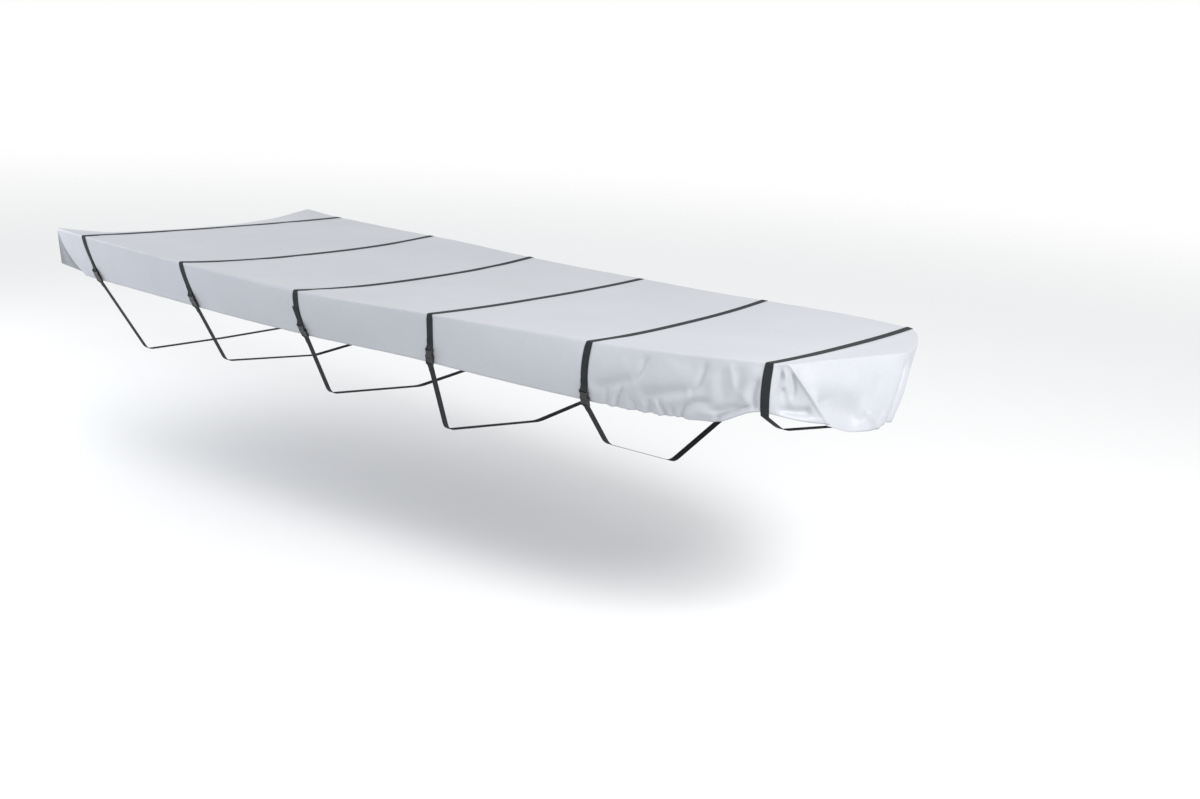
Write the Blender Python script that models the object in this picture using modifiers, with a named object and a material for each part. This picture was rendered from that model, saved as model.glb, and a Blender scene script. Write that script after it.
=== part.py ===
"""Fitted boat cover: one sheet of coated cloth with six webbing straps round it.

The cover has the shape in which it is worn. Its top sags between two long edges, its
skirt hangs all round, a loose ear stands at one corner of the stern end, and the flap at
the bow end is drawn in to one point. Each strap runs over the top, down both sides and
back underneath. Strap 1 is nearest the stern end and strap 6 nearest the bow end.

+X points to the bow end, +Y to the far (port) side and +Z up, in metres. The origin is on
the underside of the top, in its middle, where the cover rests.
"""

from collections import namedtuple

import bmesh
import bpy
from mathutils import Matrix, Vector

COLLECTION_NAME = "boat_cover"

# ---------------------------------------------------------------- driving dimensions

STRAP_COUNT = 6
STRAP_PITCH = 0.762
FIRST_STRAP_X = -1.886

CLOTH_THICKNESS = 0.002
WEBBING_WIDTH = 0.032
WEBBING_THICKNESS = 0.002
PIECE_GAP = 0.0008

STERN_X = -2.137
BOW_CORNER_X = 1.985
SAG_POWER = 2.5
BAY_PUFF = 0.005
EDGE_ROUND = 0.003
SIDE_CURVE = 1.3
CORNER_CURVE = 1.1
BOW_CURVE = 0.9

# The top at each cross-section: half its width to the near and far side, the height of
# its two long edges, and how far the middle sags below them.
Section = namedtuple("Section", "name x near_half far_half near_edge far_edge sag")
SECTIONS = (
    Section("stern", STERN_X, 0.818, 0.807, 0.028, 0.020, 0.060),
    Section("strap 1", -1.886, 0.834, 0.832, 0.025, 0.003, 0.008),
    Section("strap 2", -1.124, 0.818, 0.820, 0.013, 0.009, 0.030),
    Section("strap 3", -0.362, 0.777, 0.778, 0.005, 0.014, 0.030),
    Section("strap 4", 0.400, 0.716, 0.716, 0.029, 0.032, 0.012),
    Section("strap 5", 1.162, 0.615, 0.618, 0.046, 0.070, 0.018),
    Section("strap 6", 1.924, 0.534, 0.532, 0.102, 0.097, 0.010),
    Section("bow corners", BOW_CORNER_X, 0.505, 0.478, 0.106, 0.092, 0.010),
)

# The skirt is a row of ribs that run from the top's edge down to the hem. A rib says
# where it leaves the edge, where its end hangs, how far it stands out halfway, and how
# late it leaves the upright: above 1 it first runs straight down, below 1 it flares out.
Rib = namedtuple("Rib", "name at hem_x hem_y hem_z belly curve")

# Along the two sides, "at" is the place along the cover.
NEAR_RIBS = (
    Rib("ear tip", STERN_X, -2.140, -0.798, -0.153, 0.000, SIDE_CURVE),
    Rib("pleat behind the ear", -2.128, -2.049, -0.712, -0.198, 0.000, SIDE_CURVE),
    Rib("crease", -2.114, -2.020, -0.754, -0.196, 0.000, SIDE_CURVE),
    Rib("strap 1", -1.886, -1.886, -0.738, -0.203, 0.000, SIDE_CURVE),
    Rib("strap 2", -1.124, -1.124, -0.723, -0.209, 0.000, SIDE_CURVE),
    Rib("strap 3", -0.362, -0.362, -0.709, -0.203, 0.012, SIDE_CURVE),
    Rib("strap 4", 0.400, 0.400, -0.697, -0.178, 0.000, SIDE_CURVE),
    Rib("strap 5", 1.162, 1.162, -0.610, -0.188, 0.021, SIDE_CURVE),
    Rib("low point of the hem", 1.721, 1.721, -0.569, -0.154, 0.018, SIDE_CURVE),
    Rib("strap 6, aft edge", 1.908, 1.909, -0.541, -0.080, 0.012, SIDE_CURVE),
    Rib("strap 6, fore edge", 1.940, 1.941, -0.533, -0.081, 0.010, SIDE_CURVE),
    Rib("trough at the corner", 1.958, 2.036, -0.467, -0.100, -0.016, CORNER_CURVE),
    Rib("ridge", BOW_CORNER_X, 2.107, -0.391, -0.109, 0.004, BOW_CURVE),
)
FAR_RIBS = (
    Rib("stern corner", STERN_X, -2.142, 0.768, -0.180, 0.004, SIDE_CURVE),
    Rib("strap 1", -1.886, -1.886, 0.742, -0.206, 0.004, SIDE_CURVE),
    Rib("strap 2", -1.124, -1.124, 0.730, -0.212, 0.006, SIDE_CURVE),
    Rib("strap 3", -0.362, -0.362, 0.718, -0.206, 0.010, SIDE_CURVE),
    Rib("strap 4", 0.400, 0.400, 0.692, -0.184, 0.008, SIDE_CURVE),
    Rib("strap 5", 1.162, 1.162, 0.618, -0.166, 0.016, SIDE_CURVE),
    Rib("strap 6", 1.924, 1.919, 0.508, -0.087, 0.006, SIDE_CURVE),
    Rib("bow corner", BOW_CORNER_X, 1.975, 0.386, -0.127, 0.004, BOW_CURVE),
)

# Across the two ends, "at" runs from -1 on the near side to +1 on the far side.
STERN_RIBS = (
    Rib("ear tip", -1.0, -2.140, -0.798, -0.153, 0.000, SIDE_CURVE),
    Rib("inside the ear", -0.88, -2.152, -0.690, -0.196, 0.000, SIDE_CURVE),
    Rib("quarter", -0.45, -2.128, -0.368, -0.238, 0.012, SIDE_CURVE),
    Rib("middle", 0.0, -2.118, 0.000, -0.252, 0.004, SIDE_CURVE),
    Rib("far quarter", 0.5, -2.126, 0.400, -0.232, 0.014, SIDE_CURVE),
    Rib("stern corner", 1.0, -2.142, 0.768, -0.180, 0.004, SIDE_CURVE),
)
BOW_RIBS = (
    Rib("ridge", -1.0, 2.107, -0.391, -0.109, 0.004, BOW_CURVE),
    Rib("near face", -0.52, 2.127, -0.226, -0.159, -0.006, BOW_CURVE),
    Rib("near the tie point", -0.08, 2.140, -0.122, -0.173, 0.010, BOW_CURVE),
    Rib("fold down the face", 0.23, 2.132, 0.000, -0.163, 0.010, BOW_CURVE),
    Rib("far face", 0.63, 2.076, 0.183, -0.158, 0.004, BOW_CURVE),
    Rib("bow corner", 1.0, 1.975, 0.386, -0.127, 0.004, BOW_CURVE),
)

# The front edge of the top, which bows forward between its two corners.
BowEdge = namedtuple("BowEdge", "at x")
BOW_EDGE = (
    BowEdge(-1.0, BOW_CORNER_X),
    BowEdge(-0.52, 2.018),
    BowEdge(-0.08, 2.078),
    BowEdge(0.23, 2.124),
    BowEdge(0.63, 2.076),
    BowEdge(1.0, BOW_CORNER_X),
)

# Main folds of the near skirt: a ridge, or a trough where the height is negative, from
# one place (along the cover, share of the way down) to another.
Fold = namedtuple("Fold", "name start_x start_down end_x end_down width height")
NEAR_FOLDS = (
    Fold("drag line from strap 5", 1.20, 0.72, 1.46, 0.50, 0.045, 0.008),
    Fold("hollow under it", 1.38, 0.80, 1.62, 0.72, 0.045, -0.008),
    Fold("pleat", 1.690, 0.02, 1.650, 0.66, 0.030, -0.008),
    Fold("ridge before strap 6", 1.800, 0.08, 1.840, 0.80, 0.032, 0.008),
    Fold("swag over the hem", 1.600, 0.90, 1.760, 0.80, 0.040, 0.007),
)

# The straps below the hem: where each turns inward on either side, how low its middle
# runs and how far that slides forward, and how high above the hem its buckle parts.
# Strap 6 is one closed loop, with no buckle.
NO_BUCKLE = None
StrapRun = namedtuple("StrapRun", "number turn_y turn_z low_z slide buckle_rise")
STRAP_RUNS = (
    StrapRun(1, 0.476, -0.595, -0.600, 0.000, 0.020),
    StrapRun(2, 0.560, -0.493, -0.545, 0.000, 0.030),
    StrapRun(3, 0.566, -0.493, -0.548, 0.000, 0.022),
    StrapRun(4, 0.589, -0.485, -0.552, 0.000, 0.022),
    StrapRun(5, 0.462, -0.391, -0.556, 0.000, 0.008),
    StrapRun(6, 0.467, -0.150, -0.205, 0.080, NO_BUCKLE),
)

BUCKLE_WIDTH = 0.044
BUCKLE_DEPTH = 0.011
SOCKET_LENGTH = 0.042
PLUG_LENGTH = 0.027
PLUG_WIDTH = 0.040
PLUG_DEPTH = 0.010
WINDOW_LENGTH = 0.020
WINDOW_DEPTH = 0.005
BUCKLE_BEVEL = 0.0022
BUCKLE_LEAN_SPAN = 0.030

TAIL_STRAP = 3
TAIL_TOP_Z = -0.076
TAIL_SWING = (0.000, 0.004, 0.010)

STRAP_RISE = 0.020
HEM_CLEARANCE = 0.014
BEND_RADIUS = 0.030
BEND_STEPS = 4
BEND_SHARE = 0.45

# ---------------------------------------------------------------- mesh stations

ACROSS = (-1.0, -0.985, -0.93, -0.80, -0.62, -0.42, -0.21, 0.0,
          0.21, 0.42, 0.62, 0.80, 0.93, 0.985, 1.0)
DOWN = (0.0, 0.06, 0.22, 0.42, 0.62, 0.80, 0.93, 1.0)
STERN_COLUMNS = (STERN_X, -2.128, -2.114, -2.04, -1.96)
BAY_SHARES = (0.14, 0.38, 0.62, 0.86)
LAST_BAY_SHARES = (0.06, 0.15, 0.24, 0.33, 0.42, 0.51, 0.60, 0.69, 0.78, 0.87, 0.95)
BOW_COLUMNS = (1.949, 1.958, 1.969, BOW_CORNER_X)


def strap_x(number):
    """The place of a strap's middle along the cover."""
    return FIRST_STRAP_X + STRAP_PITCH * (number - 1)


def column_places():
    """Places of the sheet's columns, with one under each strap edge."""
    places = list(STERN_COLUMNS)
    half = WEBBING_WIDTH / 2
    for number in range(1, STRAP_COUNT + 1):
        places += [strap_x(number) - half, strap_x(number) + half]
        if number == STRAP_COUNT:
            continue
        shares = LAST_BAY_SHARES if number == STRAP_COUNT - 1 else BAY_SHARES
        start = strap_x(number) + half
        length = STRAP_PITCH - WEBBING_WIDTH
        places += [start + length * share for share in shares]
    return places + list(BOW_COLUMNS)


COLUMNS = column_places()
LAST_COLUMN = len(COLUMNS) - 1
LAST_ACROSS = len(ACROSS) - 1
LAST_DOWN = len(DOWN) - 1

# ---------------------------------------------------------------- shaping functions


def blend(a, b, share):
    """The value or point that lies a share of the way from a to b."""
    return a + (b - a) * share


def smooth_step(share):
    """0 to 1 with a level start and end."""
    share = max(0.0, min(1.0, share))
    return share * share * (3.0 - 2.0 * share)


def read_table(table, key, place, column):
    """One column of a table at a place between its rows, on a curve without overshoot."""
    rows = [(getattr(row, key), getattr(row, column)) for row in table]
    if place <= rows[0][0]:
        return rows[0][1]
    if place >= rows[-1][0]:
        return rows[-1][1]
    slopes = [(b[1] - a[1]) / (b[0] - a[0]) for a, b in zip(rows, rows[1:])]
    index = max(n for n, row in enumerate(rows[:-1]) if place >= row[0])
    (x0, y0), (x1, y1) = rows[index], rows[index + 1]
    tangents = []
    for n in (index, index + 1):
        if n == 0 or n == len(rows) - 1:
            tangents.append(slopes[min(n, len(slopes) - 1)])
        elif slopes[n - 1] * slopes[n] <= 0:
            tangents.append(0.0)
        else:
            tangents.append(2 * slopes[n - 1] * slopes[n] / (slopes[n - 1] + slopes[n]))
    span = x1 - x0
    t = (place - x0) / span
    return (y0 * (1 + 2 * t) * (1 - t) ** 2 + tangents[0] * span * t * (1 - t) ** 2
            + y1 * t * t * (3 - 2 * t) - tangents[1] * span * t * t * (1 - t))


def section_value(x, column):
    return read_table(SECTIONS, "x", x, column)


def top_point(x, across):
    """A point of the top: x along the cover, across from -1 (near) to +1 (far)."""
    half_column = "near_half" if across < 0 else "far_half"
    y = across * section_value(x, half_column)
    edge = blend(section_value(x, "near_edge"), section_value(x, "far_edge"), (across + 1) / 2)
    crown = 1.0 - abs(across) ** SAG_POWER
    bay = (x - FIRST_STRAP_X) / STRAP_PITCH
    inside = 0.0 < bay < STRAP_COUNT - 1
    puff = BAY_PUFF * 4 * (bay % 1.0) * (1 - bay % 1.0) if inside else 0.0
    z = edge - (section_value(x, "sag") - puff) * crown
    front = strap_x(STRAP_COUNT) + WEBBING_WIDTH / 2
    reach = smooth_step((x - front) / (BOW_CORNER_X - front))
    edge_x = read_table(BOW_EDGE, "at", across, "x")
    return Vector((x + (edge_x - BOW_CORNER_X) * reach, y, z))


def fold_height(folds, x, down):
    """How far the folds lift a point of the near skirt off its smooth shape."""
    total = 0.0
    depth = -read_table(NEAR_RIBS, "at", x, "hem_z")
    here = Vector((x, down * depth))
    for fold in folds:
        start = Vector((fold.start_x, fold.start_down * depth))
        end = Vector((fold.end_x, fold.end_down * depth))
        along = end - start
        share = max(0.0, min(1.0, (here - start).dot(along) / along.length_squared))
        distance = (here - start - along * share).length / fold.width
        total += fold.height / (1.0 + distance ** 4)
    return total


def skirt_point(ribs, place, edge, outward, down):
    """A point of the skirt: down from 0 at the top's edge to 1 at the hem."""
    hem = Vector([read_table(ribs, "at", place, column) for column in ("hem_x", "hem_y", "hem_z")])
    point = blend(edge, hem, down ** read_table(ribs, "at", place, "curve"))
    point.z = blend(edge.z, hem.z, down)
    belly = read_table(ribs, "at", place, "belly") * 4 * down * (1 - down)
    return point + outward * belly


def cover_point(column, across_index, down_index):
    """Where one point of the flat pattern hangs."""
    x = COLUMNS[column]
    across = ACROSS[across_index]
    down = DOWN[down_index]
    edge = top_point(x, across)
    at_near, at_far = across_index == 0, across_index == LAST_ACROSS
    at_stern, at_bow = column == 0, column == LAST_COLUMN
    if down_index == 0 and (at_near or at_far or at_stern or at_bow):
        inward = Vector((at_stern - at_bow, at_near - at_far, -1.0))
        return edge + inward * EDGE_ROUND
    if at_near:
        outward = Vector((0.0, -1.0, 0.0))
        point = skirt_point(NEAR_RIBS, x, edge, outward, down)
        return point + outward * fold_height(NEAR_FOLDS, x, down) * (down > 0)
    if at_far:
        return skirt_point(FAR_RIBS, x, edge, Vector((0.0, 1.0, 0.0)), down)
    if at_stern:
        return skirt_point(STERN_RIBS, across, edge, Vector((-1.0, 0.0, 0.0)), down)
    if at_bow:
        return skirt_point(BOW_RIBS, across, edge, Vector((1.0, 0.0, 0.0)), down)
    return edge


# ---------------------------------------------------------------- making objects


def clear_scene():
    for item in list(bpy.data.objects):
        bpy.data.objects.remove(item, do_unlink=True)


def new_collection(name):
    collection = bpy.data.collections.new(name)
    bpy.context.scene.collection.children.link(collection)
    return collection


def plain_material(name, colour, roughness):
    material = bpy.data.materials.new(name)
    material.use_nodes = True
    shader = material.node_tree.nodes["Principled BSDF"]
    shader.inputs["Base Color"].default_value = (*colour, 1.0)
    shader.inputs["Roughness"].default_value = roughness
    shader.inputs["Metallic"].default_value = 0.0
    return material


def cloth_material():
    return plain_material("silver_polyester", (0.62, 0.65, 0.69), 0.55)


def webbing_material():
    return plain_material("black_webbing", (0.022, 0.026, 0.028), 0.75)


def buckle_material():
    return plain_material("black_acetal", (0.012, 0.013, 0.014), 0.40)


def object_from_bmesh(name, shape, collection, material):
    mesh = bpy.data.meshes.new(name)
    shape.to_mesh(mesh)
    shape.free()
    item = bpy.data.objects.new(name, mesh)
    mesh.materials.append(material)
    collection.objects.link(item)
    return item


def give_thickness(item, thickness):
    solid = item.modifiers.new("thickness", "SOLIDIFY")
    solid.thickness = thickness
    solid.offset = 0.0
    solid.use_even_offset = True


def lattice(columns, rows):
    """A flat grid whose points sit at whole numbers: column, row, 0."""
    shape = bmesh.new()
    bmesh.ops.create_grid(shape, x_segments=columns, y_segments=rows, size=0.5)
    for vertex in shape.verts:
        vertex.co.x = round((vertex.co.x + 0.5) * columns)
        vertex.co.y = round((vertex.co.y + 0.5) * rows)
    return shape


# ---------------------------------------------------------------- the cover


def make_cover(collection, material):
    """A grid for the top, its rim extruded row by row for the skirt, then draped."""
    sheet = lattice(LAST_COLUMN, LAST_ACROSS)
    for row in range(1, LAST_DOWN + 1):
        rim = [edge for edge in sheet.edges if edge.is_boundary]
        made = bmesh.ops.extrude_edge_only(sheet, edges=rim)["geom"]
        for vertex in (part for part in made if isinstance(part, bmesh.types.BMVert)):
            vertex.co.z = row
    for vertex in sheet.verts:
        column, across_index, row = (round(value) for value in vertex.co)
        vertex.co = cover_point(column, across_index, row)
    bmesh.ops.recalc_face_normals(sheet, faces=sheet.faces)
    cover = object_from_bmesh("cover", sheet, collection, material)
    cover.data.shade_smooth()
    give_thickness(cover, CLOTH_THICKNESS)
    return cover


# ---------------------------------------------------------------- the straps


def cover_section(column):
    """The cover's cross-section at one column, from the near hem over to the far hem."""
    near = [cover_point(column, 0, row) for row in range(LAST_DOWN, 0, -1)]
    top = [cover_point(column, index, 0) for index in range(LAST_ACROSS + 1)]
    far = [cover_point(column, LAST_ACROSS, row) for row in range(1, LAST_DOWN + 1)]
    return near + top + far


def offset_outward(path, distance):
    """A cross-section moved outward, square to its runs, with mitred corners."""
    moved = []
    for index, point in enumerate(path):
        before = path[max(index - 1, 0)]
        after = path[min(index + 1, len(path) - 1)]
        sides = []
        for a, b in ((before, point), (point, after)):
            run = Vector((0.0, b.y - a.y, b.z - a.z))
            if run.length > 0:
                run.normalize()
                sides.append(Vector((0.0, -run.z, run.y)))
        normal = sum(sides, Vector()) / len(sides)
        moved.append(point + normal * distance / normal.length_squared)
    return moved


def cut_at_height(path, height):
    """The path from where it first rises past a height, starting exactly there."""
    for index, (a, b) in enumerate(zip(path, path[1:])):
        if a.z <= height < b.z:
            share = (height - a.z) / (b.z - a.z)
            return [blend(a, b, share)] + path[index + 1:]
    return path


def past_the_end(path):
    """A point a little way on from the last of a path, clear of the hem beside it."""
    return path[-1] + (path[-1] - path[-2]).normalized() * HEM_CLEARANCE


def round_corner(before, corner, after):
    """Points round a corner, in place of the corner itself."""
    into, out = before - corner, after - corner
    into *= min(BEND_RADIUS / into.length, BEND_SHARE)
    out *= min(BEND_RADIUS / out.length, BEND_SHARE)
    points = []
    for step in range(BEND_STEPS + 1):
        share = step / BEND_STEPS
        points.append(corner + into * (1 - share) ** 2 + out * share ** 2)
    return points


def below_the_hem(run, start, end):
    """The strap's way back from the far side to the near side, underneath."""
    x = start.x
    corners = [
        start,
        Vector((x, run.turn_y, run.turn_z)),
        Vector((x + run.slide, 0.0, run.low_z)),
        Vector((x + run.slide / 2, -run.turn_y, run.turn_z)),
        end,
    ]
    path = []
    for before, corner, after in zip(corners, corners[1:], corners[2:]):
        path += round_corner(before, corner, after)
    return path + [end]


def hem_height(number):
    return read_table(NEAR_RIBS, "at", strap_x(number), "hem_z")


def buckle_frame(run):
    """The middle of a buckle, and its outward and upward directions, on the near skirt."""
    column = COLUMNS.index(strap_x(run.number) - WEBBING_WIDTH / 2)
    path = cover_section(column)
    low = path[0]
    high = cut_at_height(path, hem_height(run.number) + BUCKLE_LEAN_SPAN)[0]
    upward = Vector((0.0, high.y - low.y, high.z - low.z)).normalized()
    outward = Vector((0.0, -upward.z, upward.y))
    lift = CLOTH_THICKNESS / 2 + BUCKLE_DEPTH / 2 + 2 * PIECE_GAP
    middle = cut_at_height(path, hem_height(run.number) + run.buckle_rise)[0] + outward * lift
    middle.x = strap_x(run.number)
    return middle, outward, upward


def strap_side(run, side):
    """One long edge of a strap, from the top of its buckle round to the bottom of it."""
    x = strap_x(run.number) + side * WEBBING_WIDTH / 2
    lift = CLOTH_THICKNESS / 2 + PIECE_GAP + WEBBING_THICKNESS / 2
    path = offset_outward(cover_section(COLUMNS.index(x)), lift)
    if run.buckle_rise is NO_BUCKLE:
        below = past_the_end(path[::-1])
        return below_the_hem(run, past_the_end(path), below) + path
    middle, outward, upward = buckle_frame(run)
    clear = Vector((x - middle.x, 0.0, 0.0))
    top = middle + clear + upward * (SOCKET_LENGTH + 2 * PIECE_GAP)
    bottom = middle + clear - upward * (PLUG_LENGTH + 2 * PIECE_GAP)
    path = [top] + cut_at_height(path, top.z + STRAP_RISE)
    return path + below_the_hem(run, past_the_end(path), bottom)


def ribbon(name, near_edge, far_edge, collection, material, closed):
    """A strip between two edges with the same number of points."""
    strip = lattice(len(near_edge) - 1, 1)
    for vertex in strip.verts:
        index, side = round(vertex.co.x), round(vertex.co.y)
        vertex.co = (near_edge, far_edge)[side][index]
    if closed:
        bmesh.ops.remove_doubles(strip, verts=strip.verts, dist=0.0001)
    bmesh.ops.recalc_face_normals(strip, faces=strip.faces)
    item = object_from_bmesh(name, strip, collection, material)
    give_thickness(item, WEBBING_THICKNESS)
    return item


def make_strap(run, collection, material):
    edges = [strap_side(run, side) for side in (-1, 1)]
    closed = run.buckle_rise is NO_BUCKLE
    if closed:
        edges = [edge + [edge[0].copy()] for edge in edges]
    return ribbon(f"strap_{run.number}", *edges, collection, material, closed)


def make_strap_tail(run, collection, material):
    """The free end of one strap, lying on it above the buckle, its tip swung aft."""
    middle = buckle_frame(run)[0]
    lift = CLOTH_THICKNESS / 2 + 3 * PIECE_GAP + 3 * WEBBING_THICKNESS / 2 + PIECE_GAP / 2
    edges = []
    for side in (-1, 1):
        x = strap_x(run.number) + side * WEBBING_WIDTH / 2
        path = offset_outward(cover_section(COLUMNS.index(x)), lift)
        start = cut_at_height(path, middle.z + SOCKET_LENGTH + STRAP_RISE)
        top = cut_at_height(start, TAIL_TOP_Z)[0]
        path = [start[0], blend(start[0], top, 0.5), top]
        edges.append([point - Vector((step, 0.0, 0.0)) for point, step in zip(path, TAIL_SWING)])
    return ribbon(f"strap_{run.number}_tail", *edges, collection, material, closed=False)


# ---------------------------------------------------------------- the buckles


def block(name, width, depth, low, high, collection, material):
    """A block that stands along Z, its edges rounded by a Bevel modifier."""
    shape = bmesh.new()
    size = Vector((width, depth, high - low))
    middle = Vector((0.0, 0.0, (low + high) / 2))
    bmesh.ops.create_cube(shape, size=1.0, matrix=Matrix.LocRotScale(middle, None, size))
    return object_from_bmesh(name, shape, collection, material)


def soften(item):
    bevel = item.modifiers.new("rounded edges", "BEVEL")
    bevel.width = BUCKLE_BEVEL
    bevel.segments = 2
    bevel.limit_method = "ANGLE"


def place_on_strap(item, run):
    middle, outward, upward = buckle_frame(run)
    across = outward.cross(upward)
    turn = Matrix((across, outward, upward)).transposed().to_4x4()
    item.matrix_world = Matrix.Translation(middle) @ turn


def cut_windows(socket, number, cutters, material):
    """The two side windows through which the plug's prongs are pressed."""
    for side in (-1, 1):
        name = f"window_{number}_{'aft' if side < 0 else 'fore'}"
        low = (SOCKET_LENGTH - WINDOW_LENGTH) / 2
        cutter = block(name, 2 * WINDOW_DEPTH, 2 * BUCKLE_DEPTH, low, low + WINDOW_LENGTH,
                       cutters, material)
        cutter.location.x = side * BUCKLE_WIDTH / 2
        cutter.parent = socket
        cutter.hide_render = True
        cutter.display_type = "WIRE"
        cut = socket.modifiers.new(name, "BOOLEAN")
        cut.operation = "DIFFERENCE"
        cut.object = cutter


def make_buckle(run, collection, cutters, material):
    """The two halves of a side-release buckle: the socket above, the plug below."""
    socket = block(f"buckle_{run.number}_socket", BUCKLE_WIDTH, BUCKLE_DEPTH, PIECE_GAP / 2,
                   SOCKET_LENGTH, collection, material)
    cut_windows(socket, run.number, cutters, material)
    soften(socket)
    place_on_strap(socket, run)
    plug = block(f"buckle_{run.number}_plug", PLUG_WIDTH, PLUG_DEPTH, -PLUG_LENGTH,
                 -PIECE_GAP / 2, collection, material)
    soften(plug)
    place_on_strap(plug, run)


# ---------------------------------------------------------------- the whole


def main():
    clear_scene()
    parts = new_collection(COLLECTION_NAME)
    cutters = new_collection("cutters")
    cloth = cloth_material()
    webbing = webbing_material()
    acetal = buckle_material()
    make_cover(parts, cloth)
    for run in STRAP_RUNS:
        make_strap(run, parts, webbing)
        if run.buckle_rise is not NO_BUCKLE:
            make_buckle(run, parts, cutters, acetal)
        if run.number == TAIL_STRAP:
            make_strap_tail(run, parts, webbing)


main()
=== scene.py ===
# %% [markdown]
# # A fitted boat cover, in silver polyester
#
# The cover is one sheet of coated polyester with a sagging top, a skirt that hangs all
# round, a loose ear at one corner of the stern end, and a flap drawn in at the bow end.
# Six webbing straps pass over it and back underneath, five of them with a buckle.
#
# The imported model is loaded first. It says where every piece is, and nothing on it moves.

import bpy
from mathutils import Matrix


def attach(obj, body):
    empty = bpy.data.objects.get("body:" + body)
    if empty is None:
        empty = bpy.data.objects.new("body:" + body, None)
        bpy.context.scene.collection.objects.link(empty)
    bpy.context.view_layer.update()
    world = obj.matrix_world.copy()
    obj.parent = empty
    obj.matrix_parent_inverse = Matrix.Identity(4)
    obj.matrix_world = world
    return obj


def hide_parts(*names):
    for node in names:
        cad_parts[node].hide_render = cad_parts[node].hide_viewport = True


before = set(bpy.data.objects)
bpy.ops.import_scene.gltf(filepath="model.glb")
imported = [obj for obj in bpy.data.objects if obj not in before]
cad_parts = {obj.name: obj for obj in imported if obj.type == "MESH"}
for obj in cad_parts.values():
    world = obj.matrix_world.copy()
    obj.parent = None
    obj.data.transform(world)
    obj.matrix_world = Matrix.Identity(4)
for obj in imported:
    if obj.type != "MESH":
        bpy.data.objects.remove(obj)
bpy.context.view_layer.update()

# %% [markdown]
# ## Tools for the whole lesson
#
# An operator acts on everything that is selected, so each step starts with nothing
# selected. A finished piece rides on the body of the model, stands for the plain solids
# that it replaces, and takes the finish that it is given.

# %% Small helpers
import math
from collections import namedtuple

import bmesh
import bpy
import numpy as np
from mathutils import Matrix, Vector

MM = 0.001


def deselect_all():
    bpy.ops.object.select_all(action="DESELECT")


def make_active(item):
    deselect_all()
    item.select_set(True)
    bpy.context.view_layer.objects.active = item


def apply_modifiers(item):
    make_active(item)
    for modifier in list(item.modifiers):
        bpy.ops.object.modifier_apply(modifier=modifier.name)


def triangles(item):
    return sum(len(face.vertices) - 2 for face in item.data.polygons)


def stand_for(item, nodes, material):
    """Hides the plain solids that a finished piece stands for, and gives it its finish."""
    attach(item, "root")
    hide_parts(*nodes)
    item.data.materials.clear()
    item.data.materials.append(material)
    print(f"{item.name}: {triangles(item)} triangles, for {', '.join(nodes)}")


def points_of(item):
    """The places of a mesh's points, a row each."""
    flat = np.empty(len(item.data.vertices) * 3)
    item.data.vertices.foreach_get("co", flat)
    return flat.reshape(-1, 3)


def move_points(item, places):
    item.data.vertices.foreach_set("co", np.asarray(places, float).ravel())
    item.data.update()


# %% [markdown]
# ## The camera
#
# The camera stands off the bow corner, above the near side, and leans a little to one
# side, which tips the far end of the cover up in the picture. Its angles and its place
# were solved from the straps and corners.

# %% Camera
CAMERA_PLACE = Vector((4.694, -5.050, 1.317))
CAMERA_YAW = math.radians(37.98)
CAMERA_PITCH = math.radians(14.79)
CAMERA_ROLL = math.radians(-3.84)
CAMERA_LENS_MM = 45.417
SENSOR_WIDTH_MM = 36.0


def add_camera():
    ahead = Vector((-math.sin(CAMERA_YAW) * math.cos(CAMERA_PITCH),
                    math.cos(CAMERA_YAW) * math.cos(CAMERA_PITCH),
                    -math.sin(CAMERA_PITCH)))
    level = Vector((math.cos(CAMERA_YAW), math.sin(CAMERA_YAW), 0.0))
    upright = level.cross(ahead)
    right = level * math.cos(CAMERA_ROLL) - upright * math.sin(CAMERA_ROLL)
    up = level * math.sin(CAMERA_ROLL) + upright * math.cos(CAMERA_ROLL)
    deselect_all()
    bpy.ops.object.camera_add()
    camera = bpy.context.object
    turn = Matrix((right, up, -ahead)).transposed().to_4x4()
    camera.matrix_world = Matrix.Translation(CAMERA_PLACE) @ turn
    camera.data.lens = CAMERA_LENS_MM
    camera.data.sensor_width = SENSOR_WIDTH_MM
    bpy.context.scene.camera = camera
    return camera


camera = add_camera()
print("camera looks along", [round(value, 3) for value in -camera.matrix_world.col[2].xyz])

# %% [markdown]
# ## The shape in which the cover is worn
#
# A sewer would cut one long panel and let it hang. Here the same panel is described by
# short tables: cross-sections of the top, and ribs that run down the skirt. Smooth curves
# without overshoot join the rows, so no bump appears between them. The numbers are those
# of the plain solid, apart from a deeper pleat at the ear and a deeper trough at the bow
# corner, so this finer sheet hangs where that one does.

# %% Tables of the shape
STRAP_COUNT = 6
STRAP_PITCH = 0.762
FIRST_STRAP_X = -1.886
WEBBING_WIDTH = 0.032
STERN_X = -2.137
BOW_CORNER_X = 1.985
SAG_POWER = 2.5
BAY_PUFF = 0.005
SIDE_CURVE = 1.3
BOW_CURVE = 0.9
STRAPS_X = [FIRST_STRAP_X + STRAP_PITCH * number for number in range(STRAP_COUNT)]

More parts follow.
